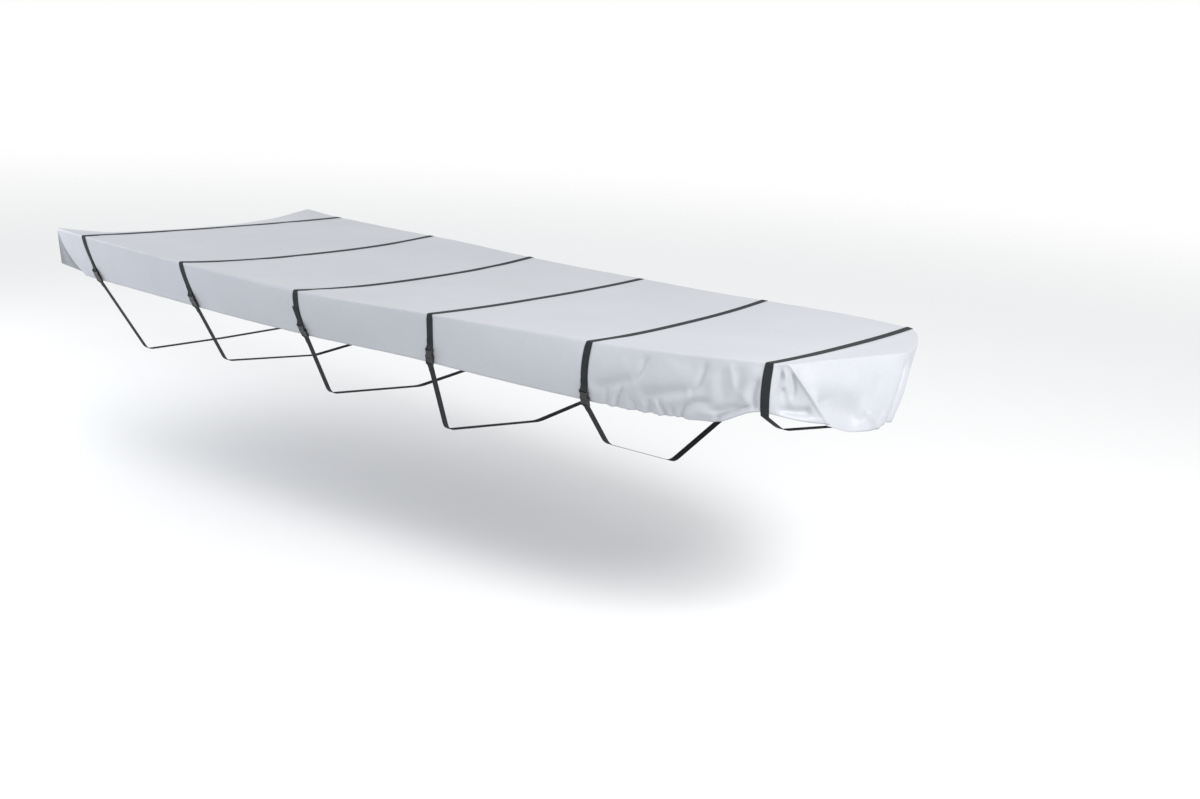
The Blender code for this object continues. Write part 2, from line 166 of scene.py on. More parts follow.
Section = namedtuple("Section", "name x near_half far_half near_edge far_edge sag")
SECTIONS = (
    Section("stern", STERN_X, 0.818, 0.807, 0.028, 0.020, 0.060),
    Section("strap 1", -1.886, 0.834, 0.832, 0.025, 0.003, 0.008),
    Section("strap 2", -1.124, 0.818, 0.820, 0.013, 0.009, 0.030),
    Section("strap 3", -0.362, 0.777, 0.778, 0.005, 0.014, 0.030),
    Section("strap 4", 0.400, 0.716, 0.716, 0.029, 0.032, 0.012),
    Section("strap 5", 1.162, 0.615, 0.618, 0.046, 0.070, 0.018),
    Section("strap 6", 1.924, 0.534, 0.532, 0.102, 0.097, 0.010),
    Section("bow corners", BOW_CORNER_X, 0.505, 0.478, 0.106, 0.092, 0.010),
)

Rib = namedtuple("Rib", "name at hem_x hem_y hem_z belly curve")
NEAR_RIBS = (
    Rib("ear tip", STERN_X, -2.140, -0.798, -0.153, 0.000, SIDE_CURVE),
    Rib("pleat behind the ear", -2.1345, -2.080, -0.650, -0.224, 0.000, 1.6),
    Rib("crease", -2.132, -1.998, -0.752, -0.197, 0.000, 1.6),
    Rib("flat of the panel", -2.120, -1.975, -0.750, -0.199, 0.000, 1.5),
    Rib("strap 1", -1.886, -1.886, -0.738, -0.203, 0.000, SIDE_CURVE),
    Rib("strap 2", -1.124, -1.124, -0.723, -0.209, 0.000, SIDE_CURVE),
    Rib("strap 3", -0.362, -0.362, -0.709, -0.203, 0.012, SIDE_CURVE),
    Rib("strap 4", 0.400, 0.400, -0.697, -0.178, 0.000, SIDE_CURVE),
    Rib("strap 5", 1.162, 1.162, -0.610, -0.188, 0.021, SIDE_CURVE),
    Rib("low point of the hem", 1.721, 1.721, -0.569, -0.154, 0.018, SIDE_CURVE),
    Rib("strap 6, aft edge", 1.908, 1.909, -0.541, -0.080, 0.012, SIDE_CURVE),
    Rib("strap 6, fore edge", 1.940, 1.941, -0.533, -0.081, 0.010, SIDE_CURVE),
    Rib("trough at the corner", 1.958, 2.036, -0.467, -0.100, -0.009, 1.1),
    Rib("ridge", BOW_CORNER_X, 2.107, -0.391, -0.109, 0.004, BOW_CURVE),
)
FAR_RIBS = (
    Rib("stern corner", STERN_X, -2.142, 0.768, -0.180, 0.004, SIDE_CURVE),
    Rib("strap 1", -1.886, -1.886, 0.742, -0.206, 0.004, SIDE_CURVE),
    Rib("strap 2", -1.124, -1.124, 0.730, -0.212, 0.006, SIDE_CURVE),
    Rib("strap 3", -0.362, -0.362, 0.718, -0.206, 0.010, SIDE_CURVE),
    Rib("strap 4", 0.400, 0.400, 0.692, -0.184, 0.008, SIDE_CURVE),
    Rib("strap 5", 1.162, 1.162, 0.618, -0.166, 0.016, SIDE_CURVE),
    Rib("strap 6", 1.924, 1.919, 0.508, -0.087, 0.006, SIDE_CURVE),
    Rib("bow corner", BOW_CORNER_X, 1.975, 0.386, -0.127, 0.004, BOW_CURVE),
)
STERN_RIBS = (
    Rib("ear tip", -1.0, -2.140, -0.798, -0.153, 0.000, SIDE_CURVE),
    Rib("inside the ear", -0.88, -2.152, -0.690, -0.196, 0.000, SIDE_CURVE),
    Rib("quarter", -0.45, -2.128, -0.368, -0.238, 0.012, SIDE_CURVE),
    Rib("middle", 0.0, -2.118, 0.000, -0.252, 0.004, SIDE_CURVE),
    Rib("far quarter", 0.5, -2.126, 0.400, -0.232, 0.014, SIDE_CURVE),
    Rib("stern corner", 1.0, -2.142, 0.768, -0.180, 0.004, SIDE_CURVE),
)
BOW_RIBS = (
    Rib("ridge", -1.0, 2.107, -0.391, -0.109, 0.004, BOW_CURVE),
    Rib("near face", -0.52, 2.127, -0.226, -0.159, -0.006, BOW_CURVE),
    Rib("near the tie point", -0.08, 2.140, -0.122, -0.173, 0.010, BOW_CURVE),
    Rib("fold down the face", 0.23, 2.132, 0.000, -0.163, 0.010, BOW_CURVE),
    Rib("far face", 0.63, 2.076, 0.183, -0.158, 0.004, BOW_CURVE),
    Rib("bow corner", 1.0, 1.975, 0.386, -0.127, 0.004, BOW_CURVE),
)
BowEdge = namedtuple("BowEdge", "at x")
BOW_EDGE = (
    BowEdge(-1.0, BOW_CORNER_X),
    BowEdge(-0.52, 2.018),
    BowEdge(-0.08, 2.078),
    BowEdge(0.23, 2.124),
    BowEdge(0.63, 2.076),
    BowEdge(1.0, BOW_CORNER_X),
)


def curve_through(table, key, column):
    """One column of a table as a smooth function that never overshoots its rows."""
    places = np.array([getattr(row, key) for row in table], float)
    values = np.array([getattr(row, column) for row in table], float)
    slopes = np.diff(values) / np.diff(places)
    product = slopes[:-1] * slopes[1:]
    total = np.where(product > 0, slopes[:-1] + slopes[1:], 1.0)
    inner = np.where(product > 0, 2 * product / total, 0.0)
    tangents = np.concatenate((slopes[:1], inner, slopes[-1:]))

    def value_at(place):
        place = np.clip(place, places[0], places[-1])
        n = np.clip(np.searchsorted(places, place, side="right") - 1, 0, len(places) - 2)
        span = places[n + 1] - places[n]
        t = (place - places[n]) / span
        return (values[n] * (1 + 2 * t) * (1 - t) ** 2
                + tangents[n] * span * t * (1 - t) ** 2
                + values[n + 1] * t * t * (3 - 2 * t)
                - tangents[n + 1] * span * t * t * (1 - t))

    return value_at


half_width_at = curve_through(SECTIONS, "x", "near_half")
print("half width at strap 3, in metres:", float(half_width_at(STRAPS_X[2])))

# %% [markdown]
# ## A lattice for the sheet
#
# The flat panel starts as a grid, and its rim is extruded row by row for the skirt, as a
# paper model of a box lid is laid out flat. Columns are close together where the cloth is
# creased, most of all at the near bow corner, where a few centimetres of edge fan out into
# a wide fold. Rows crowd together at the fold over the edge and at the hem. Every point
# keeps its place in the lattice as whole numbers, for the next step to place in space.

# %% Lattice
HALF_WEBBING = WEBBING_WIDTH / 2
CREASE_X = -2.132
BESIDE_A_STRAP = (-0.040, -0.028, -0.021, -HALF_WEBBING, 0.0,
                  HALF_WEBBING, 0.021, 0.028, 0.040)
Spacing = namedtuple("Spacing", "until step")
SPACINGS = (
    Spacing(CREASE_X, 0.0010),
    Spacing(STRAPS_X[0], 0.0085),
    Spacing(STRAPS_X[4], 0.0225),
    Spacing(STRAPS_X[5] + HALF_WEBBING, 0.0065),
    Spacing(BOW_CORNER_X, 0.0016),
)
ACROSS_SPACINGS = (
    Spacing(-0.30, 0.048),
    Spacing(0.16, 0.026),
    Spacing(0.34, 0.0095),
    Spacing(0.951, 0.075),
)
DOWN_SHARES = (
    0.000, 0.018, 0.040, 0.070, 0.110, 0.150, 0.190, 0.235, 0.280, 0.325,
    0.370, 0.410, 0.450, 0.490, 0.530, 0.570, 0.610, 0.650, 0.690, 0.730,
    0.770, 0.810, 0.845, 0.875, 0.900, 0.913, 0.935, 0.968, 1.000,
)
EDGE_SHARES = (1.0, 0.994, 0.987, 0.978, 0.966)
SAME_PLACE = 1e-6


def divided(stations, spacings):
    """Places between stations, as far apart as the table of spacings says."""
    places = []
    for start, end in zip(stations, stations[1:]):
        step = next(spacing.step for spacing in spacings if start < spacing.until - SAME_PLACE)
        count = max(1, round((end - start) / step))
        places += [start + (end - start) * number / count for number in range(count)]
    return places + [stations[-1]]


def column_places():
    """Places of the columns: one under each strap's middle and edges, the rest between."""
    stations = [STERN_X, CREASE_X]
    for x in STRAPS_X:
        stations += [x + aside for aside in BESIDE_A_STRAP if x + aside < BOW_CORNER_X]
    return np.array(divided(stations + [BOW_CORNER_X], SPACINGS))


def across_places():
    """Places across the top, from -1 on the near side to 1, close together at the edges."""
    ends = [spacing.until for spacing in ACROSS_SPACINGS]
    middle = divided([-ends[-1]] + ends, ACROSS_SPACINGS)
    edge = np.array(EDGE_SHARES)
    return np.concatenate((-edge, middle, edge[::-1]))


COLUMNS = column_places()
ACROSS = across_places()
DOWN = np.array(DOWN_SHARES)
LAST_COLUMN = len(COLUMNS) - 1
LAST_ACROSS = len(ACROSS) - 1
LAST_DOWN = len(DOWN) - 1


def flat_lattice():
    """A grid with its rim extruded, its points at whole numbers: column, across, down."""
    deselect_all()
    bpy.ops.mesh.primitive_grid_add(x_subdivisions=LAST_COLUMN, y_subdivisions=LAST_ACROSS,
                                    size=1, location=(0.5, 0.5, 0))
    sheet = bpy.context.object
    bpy.ops.object.transform_apply(location=True)
    bpy.ops.object.mode_set(mode="EDIT")
    bpy.ops.mesh.select_mode(type="EDGE")
    bpy.ops.mesh.select_all(action="SELECT")
    bpy.ops.mesh.region_to_loop()
    for row in range(LAST_DOWN):
        bpy.ops.mesh.extrude_edges_move(TRANSFORM_OT_translate={"value": (0, 0, 1)})
    bpy.ops.object.mode_set(mode="OBJECT")
    places = points_of(sheet) * (LAST_COLUMN, LAST_ACROSS, 1)
    return sheet, np.rint(places).astype(int)


cover, lattice = flat_lattice()
cover.name = "cover_cloth"
print("lattice:", LAST_COLUMN, "by", LAST_ACROSS, "cells, and", LAST_DOWN, "rows of skirt")

# %% [markdown]
# ## Hanging the sheet
#
# Each point now goes where the tables say. The top is a shallow trough between its two
# long edges. Each side of the skirt leaves its edge along a curve, stands out halfway
# down by the belly of its rib, and ends at the hem.

# %% Hang the sheet
def smooth_step(share):
    share = np.clip(share, 0, 1)
    return share * share * (3 - 2 * share)


def top_surface(x, across):
    """Where points of the top lie, for arrays of places along and across it."""
    columns = Section._fields[2:]
    section = {column: curve_through(SECTIONS, "x", column)(x) for column in columns}
    half = np.where(across < 0, section["near_half"], section["far_half"])
    rise = section["far_edge"] - section["near_edge"]
    edge = section["near_edge"] + rise * (across + 1) / 2
    bay = (x - FIRST_STRAP_X) / STRAP_PITCH
    inside = (bay > 0) & (bay < STRAP_COUNT - 1)
    puff = np.where(inside, BAY_PUFF * 4 * (bay % 1) * (1 - bay % 1), 0)
    z = edge - (section["sag"] - puff) * (1 - np.abs(across) ** SAG_POWER)
    front = STRAPS_X[-1] + HALF_WEBBING
    reach = smooth_step((x - front) / (BOW_CORNER_X - front))
    forward = (curve_through(BOW_EDGE, "at", "x")(across) - BOW_CORNER_X) * reach
    return np.stack((x + forward, across * half, z), axis=1)


def near_edge(at):
    return top_surface(at, np.full_like(at, -1.0))


def far_edge(at):
    return top_surface(at, np.full_like(at, 1.0))


def stern_edge(at):
    return top_surface(np.full_like(at, STERN_X), at)


def bow_edge(at):
    return top_surface(np.full_like(at, BOW_CORNER_X), at)


Side = namedtuple("Side", "ribs outward edge_at")
SIDES = {
    "near": Side(NEAR_RIBS, (0, -1, 0), near_edge),
    "far": Side(FAR_RIBS, (0, 1, 0), far_edge),
    "stern": Side(STERN_RIBS, (-1, 0, 0), stern_edge),
    "bow": Side(BOW_RIBS, (1, 0, 0), bow_edge),
}


def skirt_surface(side, at, down):
    """Where points of one side of the skirt hang: down from 0 at the edge to 1 at the hem."""
    ribs, outward, edge_at = SIDES[side]
    rib = {column: curve_through(ribs, "at", column)(at) for column in Rib._fields[2:]}
    hem = np.stack((rib["hem_x"], rib["hem_y"], rib["hem_z"]), axis=1)
    shares = np.stack((down ** rib["curve"], down ** rib["curve"], down), axis=1)
    belly = (rib["belly"] * 4 * down * (1 - down))[:, None] * np.array(outward, float)
    edge = edge_at(at)
    return edge + (hem - edge) * shares + belly


def side_masks(lattice):
    """Which points belong to each side of the skirt; a corner belongs to one side only."""
    column, across, down = lattice.T
    skirt = down > 0
    near = skirt & (across == 0)
    far = skirt & (across == LAST_ACROSS)
    ends = skirt & ~near & ~far
    return {"near": near, "far": far,
            "stern": ends & (column == 0), "bow": ends & (column == LAST_COLUMN)}


x_of, across_of, down_of = COLUMNS[lattice[:, 0]], ACROSS[lattice[:, 1]], DOWN[lattice[:, 2]]
masks = side_masks(lattice)
hung = top_surface(x_of, across_of)
for side, mask in masks.items():
    at = x_of if side in ("near", "far") else across_of
    hung[mask] = skirt_surface(side, at[mask], down_of[mask])
move_points(cover, hung)
make_active(cover)
bpy.ops.object.mode_set(mode="EDIT")
bpy.ops.mesh.select_all(action="SELECT")
bpy.ops.mesh.normals_make_consistent(inside=False)
bpy.ops.object.mode_set(mode="OBJECT")
print("hung sheet:", len(hung), "points")

# %% [markdown]
# ## Soft edges
#
# Coated cloth doesn't fold sharply over a rounded rim, so the edge of the top and the four
# corners are relaxed. The Smooth modifier moves each point towards its neighbours, and a
# vertex group keeps it to a narrow band beside the edges.

# %% Relax the edges
EDGE_BAND = 0.022
EDGE_REPEATS = 6
EDGE_FACTOR = 0.5
STILL_FROM = 0.8
TOP_HALF = 0.75
SKIRT_DEPTH = 0.23
LEAST_WEIGHT = 0.01


def distance_to_edges():
    """How far each point is from the top's edge or, on the skirt, from a far corner too."""
    to_long_edge = (1 - np.abs(across_of)) * TOP_HALF
    to_end = np.minimum(x_of - STERN_X, BOW_CORNER_X - x_of)
    to_far_corner = np.where(across_of > 0, np.hypot(to_long_edge, to_end), 1)
    on_skirt = np.minimum(down_of * SKIRT_DEPTH, to_far_corner)
    return np.where(down_of > 0, on_skirt, np.minimum(to_long_edge, to_end))


def vertex_group(item, name, weights):
    group = item.vertex_groups.new(name=name)
    for index in np.nonzero(weights > LEAST_WEIGHT)[0]:
        group.add([int(index)], float(weights[index]), "REPLACE")
    return group


def relax(item, weights, repeats):
    group = vertex_group(item, "relaxed", weights)
    smooth = item.modifiers.new("relax", "SMOOTH")
    smooth.factor = EDGE_FACTOR
    smooth.iterations = repeats
    smooth.vertex_group = group.name
    apply_modifiers(item)
    item.vertex_groups.clear()


edge_weight = 1 - smooth_step(distance_to_edges() / EDGE_BAND)
edge_weight *= 1 - smooth_step((down_of - STILL_FROM) / (1 - STILL_FROM))
relax(cover, edge_weight, EDGE_REPEATS)
print("points relaxed:", int((edge_weight > LEAST_WEIGHT).sum()))

# %% [markdown]
# ## Folds
#
# Where a strap pulls on a loose skirt the cloth gathers into drag lines, and where a wide
# skirt turns a corner the spare cloth stands up in ridges. A row of the table is one ridge,
# or one trough where its height is negative. It runs through three places, each given as a
# place along the side and a share of the way down, and it is as wide and high as a fold in
# this cloth. The near side and the bow have the most, because there the straps pull on a
# skirt that is wider than it needs to be.

# %% Table of folds
Fold = namedtuple("Fold", "side name at_1 down_1 at_2 down_2 at_3 down_3 width height")
FOLDS = (
    Fold("near", "drag trough", 1.185, 0.77, 1.290, 0.60, 1.400, 0.45, 0.022, -0.010),
    Fold("near", "upright end of it", 1.372, 0.50, 1.412, 0.34, 1.420, 0.04, 0.017, -0.009),
    Fold("near", "swell over it", 1.200, 0.45, 1.290, 0.35, 1.360, 0.20, 0.045, 0.003),
    Fold("near", "swell after it", 1.300, 0.72, 1.500, 0.45, 1.570, 0.10, 0.050, 0.006),
    Fold("near", "second trough", 1.400, 0.70, 1.510, 0.63, 1.655, 0.52, 0.022, -0.011),
    Fold("near", "upright end of that", 1.618, 0.58, 1.662, 0.42, 1.678, 0.00, 0.017, -0.011),
    Fold("near", "swell over that", 1.450, 0.50, 1.560, 0.38, 1.630, 0.18, 0.050, 0.003),
    Fold("near", "shelf under it", 1.470, 0.82, 1.590, 0.69, 1.690, 0.52, 0.022, 0.006),
    Fold("near", "upright ridge", 1.705, 0.22, 1.722, 0.50, 1.724, 0.72, 0.020, 0.004),
    Fold("near", "its trough", 1.738, 0.07, 1.758, 0.41, 1.779, 0.70, 0.016, -0.003),
    Fold("near", "thin ridge", 1.768, 0.03, 1.791, 0.27, 1.811, 0.58, 0.011, 0.005),
    Fold("near", "trough before the arc", 1.803, 0.10, 1.829, 0.35, 1.834, 0.60, 0.020, -0.004),
    Fold("near", "broad arc", 1.903, 0.08, 1.846, 0.46, 1.870, 0.90, 0.019, 0.008),
    Fold("near", "trough at strap 6", 1.902, 0.30, 1.879, 0.60, 1.886, 0.92, 0.011, -0.009),
    Fold("near", "arch", 1.593, 0.97, 1.630, 0.73, 1.736, 0.68, 0.011, -0.010),
    Fold("near", "puff in the arch", 1.630, 0.95, 1.680, 0.86, 1.750, 0.88, 0.018, 0.010),
    Fold("near", "upper swag", 1.688, 0.81, 1.764, 0.80, 1.838, 0.82, 0.008, -0.009),
    Fold("near", "lower swag", 1.745, 0.94, 1.810, 0.90, 1.880, 0.89, 0.010, -0.009),
    Fold("near", "lip under the swags", 1.763, 0.98, 1.831, 0.98, 1.895, 0.98, 0.011, 0.009),
    Fold("near", "short ridge", 1.474, 0.74, 1.488, 0.84, 1.502, 1.00, 0.009, 0.009),
    Fold("near", "short trough", 1.496, 0.75, 1.510, 0.84, 1.522, 0.97, 0.008, -0.006),
    Fold("near", "gather after strap 5", 1.250, 0.70, 1.259, 0.82, 1.250, 1.00, 0.010, -0.005),
    Fold("near", "second gather", 1.302, 0.97, 1.316, 0.77, 1.345, 0.64, 0.009, -0.007),
    Fold("near", "ridge by the gather", 1.280, 0.98, 1.296, 0.77, 1.330, 0.62, 0.009, 0.006),
    Fold("near", "third gather", 1.345, 0.80, 1.352, 0.88, 1.358, 1.00, 0.008, 0.005),
    Fold("near", "fourth gather", 1.375, 0.78, 1.386, 0.88, 1.392, 1.00, 0.008, -0.006),
    Fold("near", "fifth gather", 1.412, 0.80, 1.424, 0.88, 1.430, 1.00, 0.008, 0.006),
    Fold("near", "sixth gather", 1.447, 0.77, 1.455, 0.86, 1.458, 1.00, 0.009, -0.007),
    Fold("near", "seventh gather", 1.548, 0.80, 1.556, 0.88, 1.560, 1.00, 0.009, -0.006),
    Fold("near", "ridge after strap 6", 1.968, 0.04, 1.957, 0.28, 1.952, 0.50, 0.009, 0.008),
    Fold("near", "trough after it", 1.979, 0.12, 1.968, 0.36, 1.954, 0.66, 0.006, -0.007),
    Fold("near", "lower crease at the strap", 1.954, 0.38, 1.947, 0.63, 1.939, 0.90, 0.006, -0.007),
    Fold("near", "thin fold at the strap", 1.954, 0.28, 1.947, 0.52, 1.938, 0.80, 0.006, 0.005),
    Fold("near", "upper crease at the strap", 1.957, 0.10, 1.948, 0.40, 1.941, 0.70, 0.006, -0.007),
    Fold("near", "trough to the hem", 1.953, 0.42, 1.952, 0.62, 1.953, 0.84, 0.006, -0.007),
    Fold("near", "hollow over the hem", 1.946, 0.89, 1.958, 0.84, 1.976, 0.81, 0.016, -0.015),
    Fold("near", "lip of the hollow", 1.949, 0.99, 1.958, 0.97, 1.978, 0.96, 0.010, 0.003),
    Fold("near", "corner ridge", 1.984, 0.04, 1.985, 0.50, 1.985, 1.02, 0.007, 0.005),
    Fold("bow", "beside the corner ridge", -0.965, 0.08, -0.965, 0.26, -0.950, 0.52, 0.012, -0.008),
    Fold("bow", "fore side of that ridge", -1.000, 0.04, -1.000, 0.50, -1.000, 1.02, 0.007, 0.005),
    Fold("bow", "hollow of the face", -0.98, 0.60, -0.64, 0.70, -0.24, 0.80, 0.050, -0.026),
    Fold("bow", "hollow over the hem", -0.97, 0.94, -0.66, 0.96, -0.38, 0.97, 0.045, -0.014),
    Fold("bow", "brow over it", -0.95, 0.20, -0.62, 0.30, -0.18, 0.42, 0.050, 0.015),
    Fold("bow", "dent", -0.89, 0.60, -0.75, 0.545, -0.60, 0.50, 0.009, -0.004),
    Fold("bow", "faint upright trough", -0.035, 0.22, -0.080, 0.45, -0.117, 0.66, 0.030, -0.005),
    Fold("bow", "fold down the face", 0.225, 0.14, 0.170, 0.55, 0.150, 1.00, 0.030, 0.006),
    Fold("bow", "crease beside it", 0.285, 0.10, 0.232, 0.58, 0.205, 1.00, 0.0065, -0.024),
    Fold("bow", "panel past the crease", 0.400, 0.14, 0.340, 0.55, 0.290, 1.00, 0.030, 0.014),
    Fold("bow", "pleat of the tie", -0.223, 0.66, -0.145, 0.80, 0.013, 0.99, 0.010, 0.010),
    Fold("bow", "trough of the tie", -0.175, 0.64, -0.215, 0.74, -0.308, 0.90, 0.009, -0.008),
    Fold("bow", "second pleat", 0.12, 0.78, 0.08, 0.88, 0.05, 1.02, 0.014, 0.006),
    Fold("bow", "far corner ridge", 0.97, 0.10, 0.975, 0.50, 0.98, 1.00, 0.018, 0.006),
    Fold("far", "drag trough", 1.190, 0.85, 1.320, 0.60, 1.400, 0.15, 0.035, -0.007),
    Fold("far", "upright ridge", 1.640, 0.10, 1.660, 0.50, 1.670, 0.85, 0.035, 0.006),
    Fold("far", "trough before strap 6", 1.780, 0.15, 1.810, 0.50, 1.830, 0.95, 0.030, -0.006),
    Fold("stern", "broad fold", -0.50, 0.15, -0.52, 0.55, -0.50, 1.00, 0.060, 0.008),
    Fold("stern", "second fold", 0.30, 0.20, 0.33, 0.60, 0.31, 1.00, 0.070, 0.007),
)

# %% [markdown]
# ## Pressing the folds into the sheet
#
# Each fold is a soft bell across its path. Distances are measured in space, on the hung
# sheet, so a fold keeps its width where the lattice spreads. A few faint waves and a slight
# swell beside each strap come on top. Under a strap, which presses on the cloth, it all
# fades to nothing. The lifts are added up, and the sheet is moved once, square to its face.

# %% Press the folds
PATH_POINTS = 60
FADE = 0.22
NEAR_THE_HEM = 0.9
JUST_BELOW_THE_EDGE = 0.001
STRAP_MARGIN = 0.002
STRAP_PRESS = 0.008
SWELL_ASIDE = 0.024
SWELL_WIDTH = 0.007
SWELL_HEIGHT = 0.0030
SWELL_ENDS = 0.1
WAVE_LENGTHS = (0.46, 0.37, 0.29, 0.23, 0.19, 0.16)
WAVE_HEIGHT = 0.0011
WAVE_SEED = 14


def fold_path(fold):
    """Points along a fold in space, and how fully it stands there."""
    t = np.linspace(0, 1, PATH_POINTS)
    shares = ((1 - t) * (1 - 2 * t), 4 * t * (1 - t), t * (2 * t - 1))
    at, down = (sum(share * value for share, value in zip(shares, values)) for values in
                ((fold.at_1, fold.at_2, fold.at_3), (fold.down_1, fold.down_2, fold.down_3)))
    end = 1.0 if fold.down_3 > NEAR_THE_HEM else smooth_step((1 - t) / FADE)
    start = 1.0 if fold.down_1 > NEAR_THE_HEM else smooth_step(t / FADE)
    path = skirt_surface(fold.side, at, np.clip(down, JUST_BELOW_THE_EDGE, None))
    return path, np.ones(PATH_POINTS) * (end * start)


def fold_lift(fold):
    """How far one fold lifts each point of the sheet."""
    path, fullness = fold_path(fold)
    lift = np.zeros(len(hung))
    members = np.nonzero(masks[fold.side])[0]
    away = np.linalg.norm(hung[members][:, None] - path[None], axis=2)
    nearest = away.argmin(axis=1)
    bell = np.exp(-(away[np.arange(len(members)), nearest] / fold.width) ** 2)
    lift[members] = fold.height * bell * fullness[nearest]
    return lift


def wave_lift():
    """The slight unevenness of cloth that was packed in folds, from a few seeded waves."""
    chance = np.random.default_rng(WAVE_SEED)
    lift = np.zeros(len(hung))
    for length in WAVE_LENGTHS:
        direction = chance.normal(size=3)
        direction /= np.linalg.norm(direction)
        phase = chance.uniform(0, 2 * math.pi)
        lift += WAVE_HEIGHT * length / WAVE_LENGTHS[0] * np.sin(
            2 * math.pi / length * hung @ direction + phase)
    return lift


aside_of_strap = np.min([np.abs(x_of - x) for x in STRAPS_X], axis=0)


def strap_press():
    """0 under a strap and 1 well away from it."""
    return smooth_step((aside_of_strap - HALF_WEBBING - STRAP_MARGIN) / STRAP_PRESS)


def swell_beside_straps():
    """The top swells a little on both sides of a strap that is pulled tight over it."""
    bell = np.exp(-((aside_of_strap - SWELL_ASIDE) / SWELL_WIDTH) ** 2)
    ends = smooth_step((1 - np.abs(across_of)) / SWELL_ENDS)
    return SWELL_HEIGHT * bell * (down_of == 0) * ends


def normals_of(item):
    """The directions in which a mesh's points face, a row each."""
    flat = np.empty(len(item.data.vertices) * 3)
    item.data.vertices.foreach_get("normal", flat)
    return flat.reshape(-1, 3)


lift = sum(fold_lift(fold) for fold in FOLDS) + wave_lift() + swell_beside_straps()
lift *= strap_press()
move_points(cover, points_of(cover) + normals_of(cover) * lift[:, None])
print("folds:", len(FOLDS), " highest and lowest, in mm:",
      (lift.max() / MM).round(1), (lift.min() / MM).round(1))

# %% [markdown]
# ## Thickness, and a flat pattern for the weave
#
# The cloth itself is thin. Its edge is turned in twice and sewn, so the last two
# centimetres are thicker, which shows as a faint band above the hem. A weight on those
# points makes the Solidify modifier give them twice the thickness. The flat pattern is
# laid out in real metres first, so that the weave has its true size in the finish.

# %% Hem and thickness
CLOTH_THICKNESS = 1.2 * MM
HEM_TOP = 0.905
HEM_STEP = 0.012
HEM_PUCKER = 0.7 * MM
PUCKER_LENGTH = 0.055
PUCKER_SPREAD = 0.035
SKIRT_LENGTH = 0.235


def pattern_places():
    """Where each point lies on the flat pattern, in metres."""
    along, aside = hung[:, 0].copy(), hung[:, 1].copy()
    drop = down_of * SKIRT_LENGTH
    edge_x, edge_y = top_surface(x_of, across_of)[:, :2].T
    aside = np.where(masks["near"], edge_y - drop, aside)
    aside = np.where(masks["far"], edge_y + drop, aside)
    along = np.where(masks["stern"], STERN_X - drop, along)
    along = np.where(masks["bow"], edge_x + drop, along)
    return np.stack((along, aside), axis=1)


def lay_pattern(item, places):
    """Stores a flat place for every point of a mesh as its UV map."""
    corners = np.empty(len(item.data.loops), int)
    item.data.loops.foreach_get("vertex_index", corners)
    layers = item.data.uv_layers
    layer = layers[0] if layers else layers.new(name="flat pattern")
    layer.data.foreach_set("uv", places[corners].ravel())


seam = np.exp(-((down_of - HEM_TOP) / PUCKER_SPREAD) ** 2) * (down_of > 0)
pucker = np.sin(2 * math.pi * (hung[:, 0] + hung[:, 1]) / PUCKER_LENGTH)
pucker *= HEM_PUCKER * seam * strap_press()
move_points(cover, points_of(cover) + normals_of(cover) * pucker[:, None])
sheet_points, sheet_normals = points_of(cover), normals_of(cover)
lay_pattern(cover, pattern_places())

hem_weight = smooth_step((down_of - HEM_TOP) / HEM_STEP)
hem_group = vertex_group(cover, "hem", hem_weight)
make_active(cover)
bpy.ops.object.shade_smooth()
solid = cover.modifiers.new("thickness", "SOLIDIFY")
solid.thickness = 2 * CLOTH_THICKNESS
solid.offset = 0.0
solid.vertex_group = hem_group.name
solid.thickness_vertex_group = 0.5
solid.material_offset = 1
apply_modifiers(cover)
print("cover:", triangles(cover), "triangles")

# %% [markdown]
# ## The straps' way round
#
# Six polypropylene webbing straps lie on the cloth, so their paths are read from the sheet
# itself: three lines each, under the two edges and the middle. Below the hem each strap
# turns inward and runs back underneath. The webbing is drawn tight, so it is straight
# between its bends.

# %% Strap paths
STRAP_LIFT = 1.8 * MM
HEM_CLEARANCE = 0.014
BEND_RADIUS = 0.030
BEND_SHARE = 0.45
BEND_STEPS = 8
BUCKLE_LEAN_SPAN = 0.030
BUCKLE_LIFT = 8.1 * MM
NO_BUCKLE = None
StrapRun = namedtuple("StrapRun", "number turn_y turn_z low_z slide buckle_rise")
STRAP_RUNS = (
    StrapRun(1, 0.476, -0.595, -0.600, 0.000, 0.020),
    StrapRun(2, 0.560, -0.493, -0.545, 0.000, 0.030),
    StrapRun(3, 0.566, -0.493, -0.548, 0.000, 0.022),
    StrapRun(4, 0.589, -0.485, -0.552, 0.000, 0.022),
    StrapRun(5, 0.462, -0.391, -0.556, 0.000, 0.008),
    StrapRun(6, 0.467, -0.150, -0.205, 0.080, NO_BUCKLE),
)
BUCKLED_RUNS = [run for run in STRAP_RUNS if run.buckle_rise is not NO_BUCKLE]


def girth_line(x, lift):
    """Points round the cover at one place along it, from the near hem to the far hem."""
    column = int(np.abs(COLUMNS - x).argmin())
    members = np.nonzero(lattice[:, 0] == column)[0]
    across, down = lattice[members, 1], lattice[members, 2]
    order = members[np.argsort(across + np.where(across == 0, -down, down))]
    extra = lift + hem_weight[order] * CLOTH_THICKNESS / 2
    places = sheet_points[order] + sheet_normals[order] * extra[:, None]
    return [Vector(place) for place in places]


def from_height(line, height):
    """The rest of a line from where it first rises past a height."""
    for index, (a, b) in enumerate(zip(line, line[1:])):
        if a.z <= height < b.z:
            return [a.lerp(b, (height - a.z) / (b.z - a.z))] + line[index + 1:]
    return line


def past_the_end(line):
    """Where a strap leaves the cloth, a little below the hem."""
    return line[-1] + (line[-1] - line[-2]).normalized() * HEM_CLEARANCE


